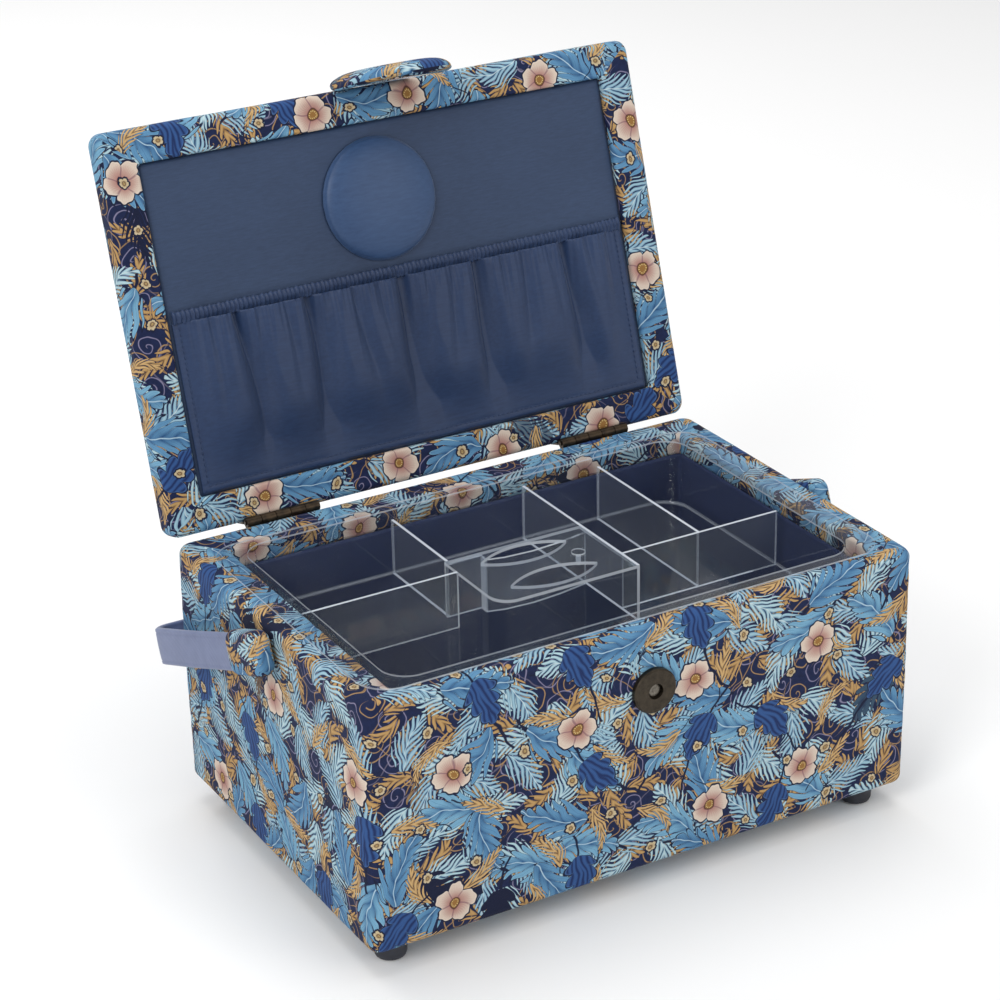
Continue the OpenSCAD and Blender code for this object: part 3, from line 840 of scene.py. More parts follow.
for n in ("bottom_board", "front_wall_board", "back_wall_board", "left_wall_board", "right_wall_board", "lid_board", "lid_frame_front",
          "lid_frame_back", "lid_frame_left", "lid_frame_right"):
    finish_node(n, BOARD)
for n in ("box_wadding", "lid_wadding"):
    finish_node(n, WADDING)
for n in ("pincushion_base", "tab_stiffener"):
    finish_node(n, CARD)
for n in ("foot_pins", "snap_backing_plate", "handle_pivot_pins", "handle_washers"):
    finish_node(n, STEEL)
for n in ("hinge_leaves_box", "hinge_leaves_lid", "hinge_pins", "hinge_screws_box", "hinge_screws_lid"):
    finish_node(n, BRASS_DARK)
finish_node("snap_socket", BRONZE)
finish_node("snap_stud", BRONZE)
finish_node("feet", RUBBER)
for n in NODES:
    if n.startswith("tray_"):
        finish_node(n, PLASTIC[n])

# ------------------------------------------------------------------ box cover: printed cotton over thin wadding
RT = 4.0


def box_cover():
    L = Loft(52, 34, 8)
    for inset, z in ((30, FOOT + 0.1), (14, FOOT), (5, FOOT)):
        L.add(-HW + inset, HW - inset, -HD + inset, HD - inset, z, 6.0 if inset > 10 else 1.2)
    rb = 3.6
    for k in range(6):
        a = PI / 2 * k / 5
        i = rb * (1 - math.sin(a))
        L.add(-HW + i, HW - i, -HD + i, HD - i, FOOT + rb * (1 - math.cos(a)), 5.6 - i)
    for k in range(1, 20):
        z = FOOT + rb + (ZR - RT - FOOT - rb) * k / 20
        L.add(-HW, HW, -HD, HD, z, 5.6)
    for k in range(7):
        a = PI / 2 * k / 6
        i = RT * (1 - math.cos(a))
        L.add(-HW + i, HW - i, -HD + i, HD - i, ZR - 0.1 - RT * (1 - math.sin(a)), 5.6 - 0.6 * i)
    ri = 1.6
    o = (-HW + RT, HW - RT, -HD + RT, HD - RT)
    n = (-CX - ri, CX + ri, CYF - ri, CYB + ri)
    for k in range(1, 7):
        t = k / 7
        q = [a + (b - a) * t for a, b in zip(o, n)]
        L.add(*q, ZR - 0.1, 3.2 + 0.4 * t)
    for k in range(5):
        a = PI / 2 * k / 4
        i = ri * (1 - math.sin(a))
        L.add(-CX - i, CX + i, CYF - i, CYB + i, ZR - 0.1 - ri * (1 - math.cos(a)), 3.2)
    for z in (119.5, 117.5, 115.6, 114.2):
        L.add(-CX, CX, CYF, CYB, z, 3.0)
    nrings = len(L.rings)
    wall0, wall1 = 9, 27

    def disp(p, ri_, i):
        x, y, z = p
        if z < FOOT + 1.0 or ri_ > 36:
            return p
        d = 0.0
        if ri_ <= 34:
            t = (z - FOOT) / (ZR - FOOT)
            d = 0.45 * math.sin(PI * min(1, max(0, t))) + 0.22 * nz(x * 0.03 + 5, y * 0.03, z * 0.03) + 0.08 * nz(x * 0.15, y * 0.15, z * 0.12)
            # small drag lines that run down from the top corners
            for sx in (-1, 1):
                for sy in (-1, 1):
                    q = math.hypot(x - sx * HW, y - sy * HD)
                    d += 0.16 * math.exp(-q / 9.0) * math.sin(z * 0.55 + sx + sy * 2)
        fx = 1.0 if abs(abs(x) - HW) < 3.0 else 0.0
        fy = 1.0 if abs(abs(y) - HD) < 3.0 else 0.0
        s = math.hypot(fx, fy) or 1
        # stay behind the snap, the washers and the hinge leaves
        if fy and y < 0 and math.hypot(x, z - 94) < 16:
            d *= smooth(9, 16, math.hypot(x, z - 94))
        if fx and math.hypot(y, z - PIVOT_Z) < 24:
            d *= smooth(8, 24, math.hypot(y, z - PIVOT_Z))
        if fy and y > 0 and z > 104:
            d *= 0.0
        return (x + math.copysign(d * fx / s, x), y + math.copysign(d * fy / s, y), z)

    offs = [0, 0, 0, 0]
    R = 5.6
    offs[1] = (HW - R + R * PI / 2) + (HD - R)
    offs[2] = offs[1] + (HD - R + R * PI / 2) + (HW - R)
    offs[3] = -(HW - R + R * PI / 2) - (HD - R)
    ob = L.build("box_cover_cloth", disp, cap_start=True, offs=offs, v0=-34, materials=(PRINT,))
    solidify(ob, 0.7)
    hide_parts("box_cover")
    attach(ob, "box")
    return ob


box_cover()


def box_wadding():
    """the thin layer of wadding between the boards and the cloth, a little inside the cloth all round"""
    w, d, top = HW - 0.95, HD - 0.95, ZR - 1.05
    L = Loft(40, 26, 6)
    rb, rt = 2.7, 3.1
    L.add(-w + 5, w - 5, -d + 5, d - 5, FOOT + 0.95, 1.2)
    for k in range(5):
        a = PI / 2 * k / 4
        i = rb * (1 - math.sin(a))
        L.add(-w + i, w - i, -d + i, d - i, FOOT + 0.95 + rb * (1 - math.cos(a)), 4.7 - 0.8 * i)
    for k in range(1, 8):
        L.add(-w, w, -d, d, FOOT + 0.95 + rb + (top - rt - FOOT - 0.95 - rb) * k / 8, 4.7)
    for k in range(6):
        a = PI / 2 * k / 5
        i = rt * (1 - math.cos(a))
        L.add(-w + i, w - i, -d + i, d - i, top - rt * (1 - math.sin(a)), 4.7 - 0.7 * i)
    for t in (0.3, 0.6, 0.9):
        L.add(-w + rt + 11.2 * t, w - rt - 11.2 * t, -d + rt + 4.6 * t, d - rt - 14 * t, top, 2.5)

    def disp(p, ri, i):
        x, y, z = p
        e = 0.1 * nz(x * 0.09, y * 0.09, z * 0.09)
        return (x - math.copysign(abs(e), x), y - math.copysign(abs(e), y), z)

    ob = L.build("box_wadding_layer", disp, materials=(WADDING,))
    solidify(ob, 0.8)
    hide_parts("box_wadding")
    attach(ob, "box")


box_wadding()


# ------------------------------------------------------------------ inside lining of the box
def box_lining():
    L = Loft(44, 28, 6)
    for z in (114.0, 112.0, 100.0, 85.0, 70.0, 55.0, 40.0, 28.0, 21.0):
        L.add(-CX, CX, CYF, CYB, z, 2.2)
    for k in range(1, 5):
        a = PI / 2 * k / 4
        i = 2.5 * (1 - math.cos(a))
        L.add(-CX + i, CX - i, CYF + i, CYB - i, 19.6 - 2.5 * math.sin(a), 2.2)
    for t in (0.12, 0.26, 0.42, 0.6, 0.8, 0.93):
        L.add(-CX * (1 - t), CX * (1 - t), CYF + 72 * t, CYB - 72 * t, 17.1, 2.2 * (1 - t) + 0.2)

    def disp(p, ri, i):
        x, y, z = p
        if z < 18:
            return (x, y, z + 0.12 + 0.14 * nz(x * 0.05, y * 0.05, 3))
        d = 0.15 + 0.13 * nz(x * 0.05, y * 0.05, z * 0.05)
        if z > 112:
            d = 0.0
        sx = 1 if abs(abs(x) - CX) < 0.5 else 0
        sy = 1 if (abs(y - CYF) < 0.5 or abs(y - CYB) < 0.5) else 0
        return (x - math.copysign(d * sx, x), y - math.copysign(d * sy, y), z)

    ob = L.build("box_lining_cloth", disp, cap_end=True, materials=(LINING,))
    solidify(ob, 0.6)
    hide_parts("box_wall_lining", "box_floor_lining")
    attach(ob, "box")
    return ob


box_lining()


# ------------------------------------------------------------------ lid cover
def lid_cover():
    L = Loft(52, 34, 8)
    for z in (128.2, 127.2):
        L.add(-PX, PX, PYF, PYB, z, 1.6)
    rr = 1.5
    for k in range(5):
        a = PI / 2 * k / 4
        i = rr * (1 - math.cos(a))
        L.add(-PX - i, PX + i, PYF - i, PYB + i, ZL + rr - rr * math.sin(a), 1.8 + i * 0.5)
    rb = 3.6
    n = (-PX - rr, PX + rr, PYF - rr, PYB + rr)
    o = (-LW + rb, LW - rb, LYF + rb, LYB - rb)
    for k in range(1, 8):
        t = k / 8
        q = [a + (b - a) * t for a, b in zip(n, o)]
        L.add(*q, ZL, 2.5 + 0.8 * t)
    for k in range(7):
        a = PI / 2 * k / 6
        i = rb * (1 - math.sin(a))
        L.add(-LW + i, LW - i, LYF + i, LYB - i, ZL + rb * (1 - math.cos(a)), 5.4 - 0.55 * i)
    for k in (1, 2, 3, 4):
        L.add(-LW, LW, LYF, LYB, ZL + rb + (LID_T - 2 * rb - 0.6) * k / 5, 5.4)
    rt = 4.2
    for k in range(7):
        a = PI / 2 * k / 6
        i = rt * (1 - math.cos(a))
        L.add(-LW + i, LW - i, LYF + i, LYB - i, ZL + LID_T - rt * (1 - math.sin(a)), 5.4 - 0.5 * i)
    planar = len(L.rings) - 2
    for t in (0.04, 0.1, 0.18, 0.3, 0.44, 0.6, 0.76, 0.9):
        L.add((-LW + rt) * (1 - t), (LW - rt) * (1 - t), (LYF + rt) * (1 - t) - 0.5 * t, (LYB - rt) * (1 - t) - 0.5 * t, ZL + LID_T, 3.3 * (1 - t) + 0.3)

    def disp(p, ri, i):
        x, y, z = p
        if z > ZL + LID_T - 0.3:
            u = 1 - max(abs(x) / LW, abs(y + 0.5) / 87.0)
            d = 0.5 * smooth(0, 0.5, u) + 0.16 * nz(x * 0.04, y * 0.04, 7)
            return (x, y, z + d - 0.1)
        if abs(z - ZL) < 0.01 and y < 84:
            # the rim swells a little between its two edges
            w = min(abs(abs(x) - PX), abs(abs(x) - LW), 99)
            return (x, y, z + 0.1 + 0.16 * nz(x * 0.06, y * 0.06, 2))
        if abs(x) > LW - 3 or abs(y + 0.5) > 84:
            d = 0.12 * nz(x * 0.05, y * 0.05, z * 0.2)
            if y > 84:
                d = 0.0
            return (x + (math.copysign(d, x) if abs(x) > LW - 3 else 0), y - (d if y < -84 else 0), z)
        return p

    offs = [0, 0, 0, 0]
    R = 5.4
    offs[1] = 222 + 13
    offs[2] = offs[1] + 210 + 7
    offs[3] = offs[2] + 230 + 11
    ob = L.build("lid_cover_cloth", disp, cap_end=True, xf=opened, offs=[v + 61 for v in offs], v0=230, materials=(PRINT,), planar_from=planar)
    solidify(ob, 0.7)
    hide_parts("lid_cover")
    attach(ob, "lid")
    return ob


lid_cover()


def lid_wadding():
    w, f, b, z0, z1 = LW - 0.95, LYF + 0.95, LYB - 0.95, ZL + 0.95, ZL + LID_T - 0.95
    L = Loft(40, 26, 6)
    rb, rt = 2.7, 3.3
    for t in (0.95, 0.5):
        L.add(-w + rb + 12.6 * t, w - rb - 12.6 * t, f + rb + 11.2 * t, b - rb - 10.6 * t, z0, 2.0)
    for k in range(5):
        a = PI / 2 * k / 4
        i = rb * (1 - math.sin(a))
        L.add(-w + i, w - i, f + i, b - i, z0 + rb * (1 - math.cos(a)), 4.5 - 0.8 * i)
    for k in (1, 2):
        L.add(-w, w, f, b, z0 + rb + (z1 - z0 - rb - rt) * k / 3, 4.5)
    for k in range(6):
        a = PI / 2 * k / 5
        i = rt * (1 - math.cos(a))
        L.add(-w + i, w - i, f + i, b - i, z1 - rt * (1 - math.sin(a)), 4.5 - 0.7 * i)
    for t in (0.1, 0.3, 0.6, 0.85):
        L.add((-w + rt) * (1 - t), (w - rt) * (1 - t), (f + rt) * (1 - t), (b - rt) * (1 - t), z1, 2.2 * (1 - t) + 0.3)

    def disp(p, ri, i):
        x, y, z = p
        e = abs(0.1 * nz(x * 0.09, y * 0.09, z * 0.09))
        return (x - math.copysign(e, x), y - math.copysign(e, y), z - (e if z > z1 - 0.1 else 0))

    ob = L.build("lid_wadding_layer", disp, cap_end=True, xf=opened, materials=(WADDING,))
    solidify(ob, 0.7)
    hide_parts("lid_wadding")
    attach(ob, "lid")


lid_wadding()


def grid(name, nu, nv, f, uvf=None, xf=None, materials=(), flip=False, closed_u=False):
    verts = [f(i / nu, j / nv) for j in range(nv + 1) for i in range(nu + (0 if closed_u else 1))]
    w = nu if closed_u else nu + 1
    faces, uvs = [], []
    for j in range(nv):
        for i in range(nu):
            i2 = (i + 1) % w if closed_u else i + 1
            q = [(j * w + i, i, j), (j * w + i2, i + 1, j), ((j + 1) * w + i2, i + 1, j + 1), ((j + 1) * w + i, i, j + 1)]
            if flip:
                q.reverse()
            faces.append(tuple(a[0] for a in q))
            uvs.append([uvf(a[1] / nu, a[2] / nv) if uvf else (a[1] / nu, a[2] / nv) for a in q])
    return mesh_object(name, verts, faces, uvs, xf, materials)


# ------------------------------------------------------------------ lid lining
def lid_lining():
    def f(u, v):
        x = -PX - 0.5 + (2 * PX + 1.0) * u
        y = PYF - 0.5 + (PYB - PYF + 1.0) * v
        e = min(x + PX + 0.5, PX + 0.5 - x, y - PYF + 0.5, PYB + 0.5 - y)
        z = ZP - 0.25 * smooth(0, 14, e) + 0.9 * (1 - smooth(0, 1.6, e)) + 0.14 * nz(x * 0.045, y * 0.045, 9) + 0.05 * nz(x * 0.2, y * 0.03, 1)
        return (x, y, z)

    ob = grid("lid_lining_cloth", 90, 60, f, xf=opened, materials=(SATIN,), flip=True)
    solidify(ob, 0.6)
    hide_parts("lid_lining_panel")
    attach(ob, "lid")


lid_lining()


# ------------------------------------------------------------------ pincushion: a stuffed satin dome
def pincushion():
    cx, cy, R, H = -5.7, -38.4, 27.5, 7.5
    verts, faces, uvs = [], [], []
    na = 96
    # the profile runs from the centre of the dome out over the rolled edge and back under to the base
    prof = []
    for k in range(15):
        t = k / 14
        prof.append((R * 0.97 * math.sin(t * PI / 2), H * (0.25 + 0.74 * math.cos(t * PI / 2))))
    prof += [(R * 0.99, H * 0.18), (R * 0.995, H * 0.12), (R * 0.975, H * 0.07), (R * 0.94, H * 0.02), (R * 0.86, 0.0), (R * 0.5, 0.0)]
    verts.append((cx, cy, ZP - prof[0][1]))
    for r, h in prof[1:]:
        for i in range(na):
            a = 2 * PI * i / na
            q = r / R
            # tiny gathers round the edge
            g = 1 + 0.0035 * math.sin(a * 34 + 1.3 * math.sin(a * 5)) * smooth(0.85, 1.0, q)
            verts.append((cx + r * g * math.cos(a), cy + r * g * math.sin(a), ZP - h))
    verts.append((cx, cy, ZP))
    nr = len(prof) - 1
    for i in range(na):
        faces.append((0, 1 + (i + 1) % na, 1 + i))
    for k in range(nr - 1):
        for i in range(na):
            a, b = 1 + k * na + i, 1 + k * na + (i + 1) % na
            faces.append((a, b, b + na, a + na))
    last = 1 + (nr - 1) * na
    for i in range(na):
        faces.append((last + i, last + (i + 1) % na, len(verts) - 1))
    ob = mesh_object("pincushion_dome", verts, faces, None, opened, (SATIN_CUSHION,))
    cz = Vector([c * MM for c in opened((cx, cy, ZP))])
    n = (Vector([c * MM for c in opened((cx, cy, ZP - 1))]) - cz).normalized()

    def pin(co):
        h = (co - cz).dot(n) / MM
        return 1.0 if h < 0.8 else 0.0

    puff(ob, pin, pressure=1.2, cap=0.45, frames=12)
    sub = ob.modifiers.new("sub", "SUBSURF")
    sub.levels = sub.render_levels = 1
    apply_modifiers(ob)
    for p in ob.data.polygons:
        p.use_smooth = True
    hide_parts("pincushion")
    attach(ob, "lid")


pincushion()

# ------------------------------------------------------------------ gathered pocket
PY0, PY1 = PYF + 63.6, PYB - 0.9
CAS = 5.5
FOLDS = [  # x at the mouth, lean in x over the height, depth, half width at the mouth, reach down
    (-104, 2, 0.5, 2.0, 0.55), (-95, -1, 0.9, 2.0, 0.75), (-83, 3, 2.9, 2.4, 1.05), (-72, -2, 0.9, 2.2, 0.65), (-62, 3, 1.0, 2.2, 0.7),
    (-50, 2, 3.2, 2.8, 1.1), (-39, -3, 0.9, 2.3, 0.65), (-28, 5, 1.2, 2.4, 0.8), (-16, 5, 0.8, 2.2, 0.6), (-4.5, 3, 5.2, 3.2, 1.15),
    (8, -3, 0.8, 2.4, 0.6), (20, -2, 1.0, 2.4, 0.75), (33, 2, 3.6, 2.8, 1.05), (45, 1, 0.7, 2.2, 0.55), (57, -2, 1.2, 2.4, 0.75),
    (69, 4, 0.8, 2.2, 0.6), (80, 2, 3.6, 2.7, 1.05), (92, 2, 1.0, 2.2, 0.65), (102, 1, 0.5, 2.0, 0.5)]


MAIN = (-112.01, -83, -50, -4.5, 33, 80, 112.01)


def pocket_depth(x, y):
    """how far the cloth stands off the lining, in millimetres"""
    t = (y - PY0) / (PY1 - PY0)
    side = min(x + 112.0, 112.0 - x)
    bottom = PY1 - y
    env = smooth(0, 20, side) * smooth(0.5, 33, bottom)
    bulge = 1.9 + 2.3 * math.sin(PI * min(1, (0.16 + 0.84 * t) ** 0.9))
    # broad swags between the main folds
    d = 0.7 + bulge * env
    near = smooth(0, 0.10, t)
    for a, b in zip(MAIN, MAIN[1:]):
        if a <= x < b:
            d += 1.6 * math.sin(PI * (x - a) / (b - a)) ** 0.9 * env * (1 - 0.55 * t)
    for fx, lean, dep, w, reach in FOLDS:
        dep = min(5.7, dep * 1.5)
        xx = x - fx - lean * t * 1.9 - 1.1 * math.sin(t * 5 + fx)
        ww = w * (1.05 + 2.1 * t)
        wv = ww * (0.62 if xx < 0 else 1.15)
        k = math.exp(-abs(xx / wv) ** 1.6)
        r = math.exp(-((abs(xx) - ww * 1.8) / (ww * 1.3)) ** 2)
        fade = 1 - smooth(0.4 * reach, 1.2 * reach, t)
        d -= dep * k * fade * (0.45 + 0.55 * near) * min(1, env * 1.8 + 0.15)
        d += dep * 0.22 * r * fade * near * env * (1 - 0.5 * t)
    # small irregular gathers that die out under the casing
    g = nz(x * 0.42, t * 2.0, 4) + 0.5 * math.sin(x * 2.3 + 2 * nz(x * 0.1, 0, 2))
    d += 0.75 * g * math.exp(-t / 0.15) * (0.4 + 0.6 * env)
    d += 0.30 * nz(x * 0.12, t * 3.0, 11) * env
    # the row of stitches above the bottom edge and along the sides pulls the cloth down
    st = min(abs(bottom - 3.2), abs(side - 3.2))
    d -= 0.22 * math.exp(-(st / 0.7) ** 2)
    # near the tray's rim the cloth has to lie low
    lim = 6.5 * min(1.0, max(0.0, (bottom - 0.5) / 30.0) + 0.06) if bottom < 32 else 6.5
    return max(0.45, min(d, lim, 6.6))


def pocket():
    x0, x1 = -112.0, 112.0
    ys = PY0 + CAS - 0.6

    def f(u, v):
        x = x0 + (x1 - x0) * u
        y = ys + (PY1 - ys) * v
        d = pocket_depth(x, y)
        side = min(x - x0, x1 - x)
        if min(side, PY1 - y) < 0.01:
            d = 0.1
        return (x, y, ZP - 0.15 - d)

    ob = grid("pocket_cloth", 420, 90, f, xf=opened, materials=(SATIN_POCKET,), flip=True)
    solidify(ob, 0.35)
    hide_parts("pocket")
    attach(ob, "lid")

    # the elastic casing: a ruffled tube with its own fine gathers
    def c(u, v):
        x = x0 + 0.6 + (x1 - x0 - 1.2) * u
        a = 2 * PI * v
        side = min(x - x0, x1 - x)
        hold = math.exp(-((x + 4.5) / 2.2) ** 2)
        base = 1.0 + 1.35 * smooth(0, 16, side) * (1 - 0.75 * hold)
        ph = x * 2 * PI / 2.05 + 1.6 * nz(x * 0.23, 0, 5)
        rip = 0.55 * math.sin(ph) + 0.2 * nz(x * 1.1, 3, 1)
        ry = CAS / 2 + 0.3 * math.sin(ph + 0.8) + 0.2 * math.sin(ph * 0.5 + 1)
        yc = PY0 + CAS / 2 + 0.25 * nz(x * 0.12, 9, 2)
        dd = base + (0.85 + rip * 0.8) * math.cos(a)
        # a run of stitches under the elastic pinches the tube
        yy = yc + ry * math.sin(a) * 0.98
        pinch = math.exp(-((yy - (PY0 + CAS - 1.3)) / 0.6) ** 2)
        dd -= 0.35 * pinch * (1 if math.cos(a) > 0 else 0)
        return (x, yy, ZP - 0.2 - max(0.05, dd))

    verts, faces = [], []
    nu, nv = 620, 18
    for i in range(nu + 1):
        for j in range(nv):
            verts.append(c(i / nu, j / nv))
    for i in range(nu):
        for j in range(nv):
            j2 = (j + 1) % nv
            faces.append((i * nv + j, (i + 1) * nv + j, (i + 1) * nv + j2, i * nv + j2))
    faces.append(tuple(range(nv)))
    faces.append(tuple(nu * nv + j for j in range(nv - 1, -1, -1)))
    cas = mesh_object("pocket_casing", verts, faces, None, opened, (SATIN_POCKET,))
    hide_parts("pocket_elastic")
    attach(cas, "lid")

    # stitches: short raised threads along the bottom and the sides
    sv, sf = [], []

    def stitch(xa, ya, xb, yb, da, db):
        b = len(sv)
        dx, dy = xb - xa, yb - ya
        ln = math.hypot(dx, dy) or 1
        nx_, ny_ = -dy / ln, dx / ln
        for (x, y, d, k) in ((xa, ya, da - 0.05, 0.35), (xa + dx * 0.25, ya + dy * 0.25, da + 0.22, 1), (xa + dx * 0.75, ya + dy * 0.75, db + 0.22, 1), (xb, yb, db - 0.05, 0.35)):
            for q in range(6):
                a = 2 * PI * q / 6
                o = 0.2 * k * math.cos(a)
                h = 0.16 * k * math.sin(a)
                sv.append((x + nx_ * o, y + ny_ * o, ZP - 0.2 - d - h))
        for s in range(3):
            for q in range(6):
                q2 = (q + 1) % 6
                sf.append((b + s * 6 + q, b + s * 6 + q2, b + (s + 1) * 6 + q2, b + (s + 1) * 6 + q))
        sf.append(tuple(b + q for q in range(5, -1, -1)))
        sf.append(tuple(b + 18 + q for q in range(6)))

    def run(xa, ya, xb, yb, pitch=2.4, fill=0.66):
        ln = math.hypot(xb - xa, yb - ya)
        n = int(ln / pitch)
        for k in range(n):
            a, e = k / n, (k + fill) / n
            p, q = (xa + (xb - xa) * a, ya + (yb - ya) * a), (xa + (xb - xa) * e, ya + (yb - ya) * e)
            stitch(p[0], p[1], q[0], q[1], pocket_depth(*p), pocket_depth(*q))

    run(-108.6, PY1 - 3.2, 108.6, PY1 - 3.2)
    run(-108.8, PY0 + 7, -108.8, PY1 - 3.4)
    run(108.8, PY0 + 7, 108.8, PY1 - 3.4)
    st = mesh_object("pocket_stitches", sv, sf, None, opened, (THREAD,))
    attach(st, "lid")


pocket()


# ------------------------------------------------------------------ closure tab
def closure_tab():
    cz, R = 106.2, 26.4
    top = 130.6
    loop = []
    a0 = math.acos(18.6 / R)
    for i in range(73):
        a = a0 - (2 * a0 + PI) * i / 72
        loop.append((R * math.cos(a), cz + R * math.sin(a)))
    # loop runs clockwise from the right shoulder, down round the bottom, to the left shoulder
    zsh = cz + R * math.sin(a0)
    for k in range(1, 6):
        loop.append((-18.6, zsh + (top - 1.4 - zsh) * k / 5))
    for k in range(15):
        t = k / 14
        loop.append((-17.6 + 35.2 * t, top - 0.35 * abs(2 * t - 1) ** 6))
    for k in range(5, 0, -1):
        loop.append((18.6, zsh + (top - 1.4 - zsh) * k / 5))
    n = len(loop)
    C = (0.0, 106.0)
    levels = [1.0, 0.985, 0.96, 0.93, 0.89, 0.84, 0.78, 0.71, 0.63, 0.54, 0.45, 0.36, 0.27, 0.18, 0.09]

    def ymid(z, x=0.0):
        return -89.5 - 0.4 * smooth(114, 128.5, z) + 1.8 * min(1.0, abs(x) / 26.4) ** 5

    def half(f, z, front):
        h = 4.7 * (1 - f ** 5) ** 0.5 if front else 1.95 * (1 - f ** 8) ** 0.5
        k = smooth(117, 129, z)
        return h * (1 - 0.2 * k) if front else h + 0.7 * k * (h > 0)

    def point(f, q, sgn):
        x, z = C[0] + (q[0] - C[0]) * f, C[1] + (q[1] - C[1]) * f
        h = half(f, z, sgn < 0)
        if sgn > 0:
            # the stud sits in a shallow seat of the inner face
            r = math.hypot(x, z - 94)
            h -= 2.6 * (1 - smooth(9.9, 12.4, r)) * smooth(0.0, 0.2, 1 - f)
        return (x, ymid(z, x) + sgn * h + 0.05 * nz(x * 0.2, z * 0.2, 3 * sgn) * (1 - f), z)

    verts, faces, uvs = [], [], []
    for q in loop:
        verts.append(point(1.0, q, 1))
    for sgn in (-1, 1):
        for f in levels[1:]:
            for q in loop:
                verts.append(point(f, q, sgn))
        verts.append(point(0.0, C, sgn))
    nl = len(levels) - 1

    def idx(sgn, lev, i):
        i %= n
        if lev == 0:
            return i
        base = n + (0 if sgn < 0 else nl * n + 1)
        return base + (lev - 1) * n + i

    def centre(sgn):
        return n + nl * n + (0 if sgn < 0 else nl * n + 1)

    for sgn in (-1, 1):
        for lev in range(nl):
            for i in range(n):
                q = [idx(sgn, lev, i), idx(sgn, lev, i + 1), idx(sgn, lev + 1, i + 1), idx(sgn, lev + 1, i)]
                if sgn > 0:
                    q.reverse()
                faces.append(tuple(q))
        for i in range(n):
            q = [idx(sgn, nl, i), idx(sgn, nl, i + 1), centre(sgn)]
            if sgn > 0:
                q.reverse()
            faces.append(tuple(q))
    uvs = []
    # one cloth piece per side: keep each face on one island
    for k, f in enumerate(faces):
        inner = k >= (nl + 1) * n
        uvs.append([(verts[q][0] + (303.0 if inner else 12.0), verts[q][2] + 17.0) for q in f])
    ob = mesh_object("closure_tab_pad", verts, faces, uvs, leaned, (PRINT,))
    bm = bmesh.new()
    bm.from_mesh(ob.data)
    bmesh.ops.recalc_face_normals(bm, faces=bm.faces)
    bm.to_mesh(ob.data)
    bm.free()
    axis = Vector([c * MM for c in leaned((0, -90.2, 94))])
    root = Vector([c * MM for c in leaned((0, -89.9, 128.7))])

    def pin(co):
        if (co - axis).length < 12.2 * MM:
            return 1.0
        d = (co - root)
        d.x = 0
        return 1.0 if d.length < 6 * MM else 0.0

    puff(ob, pin, pressure=2.0, cap=0.35, frames=12, name="cloth_tab")
    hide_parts("closure_tab")
    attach(ob, "closure_tab")
    return ob


closure_tab()


# ------------------------------------------------------------------ handle
HO = HW + 9.2
REACH = 100.5


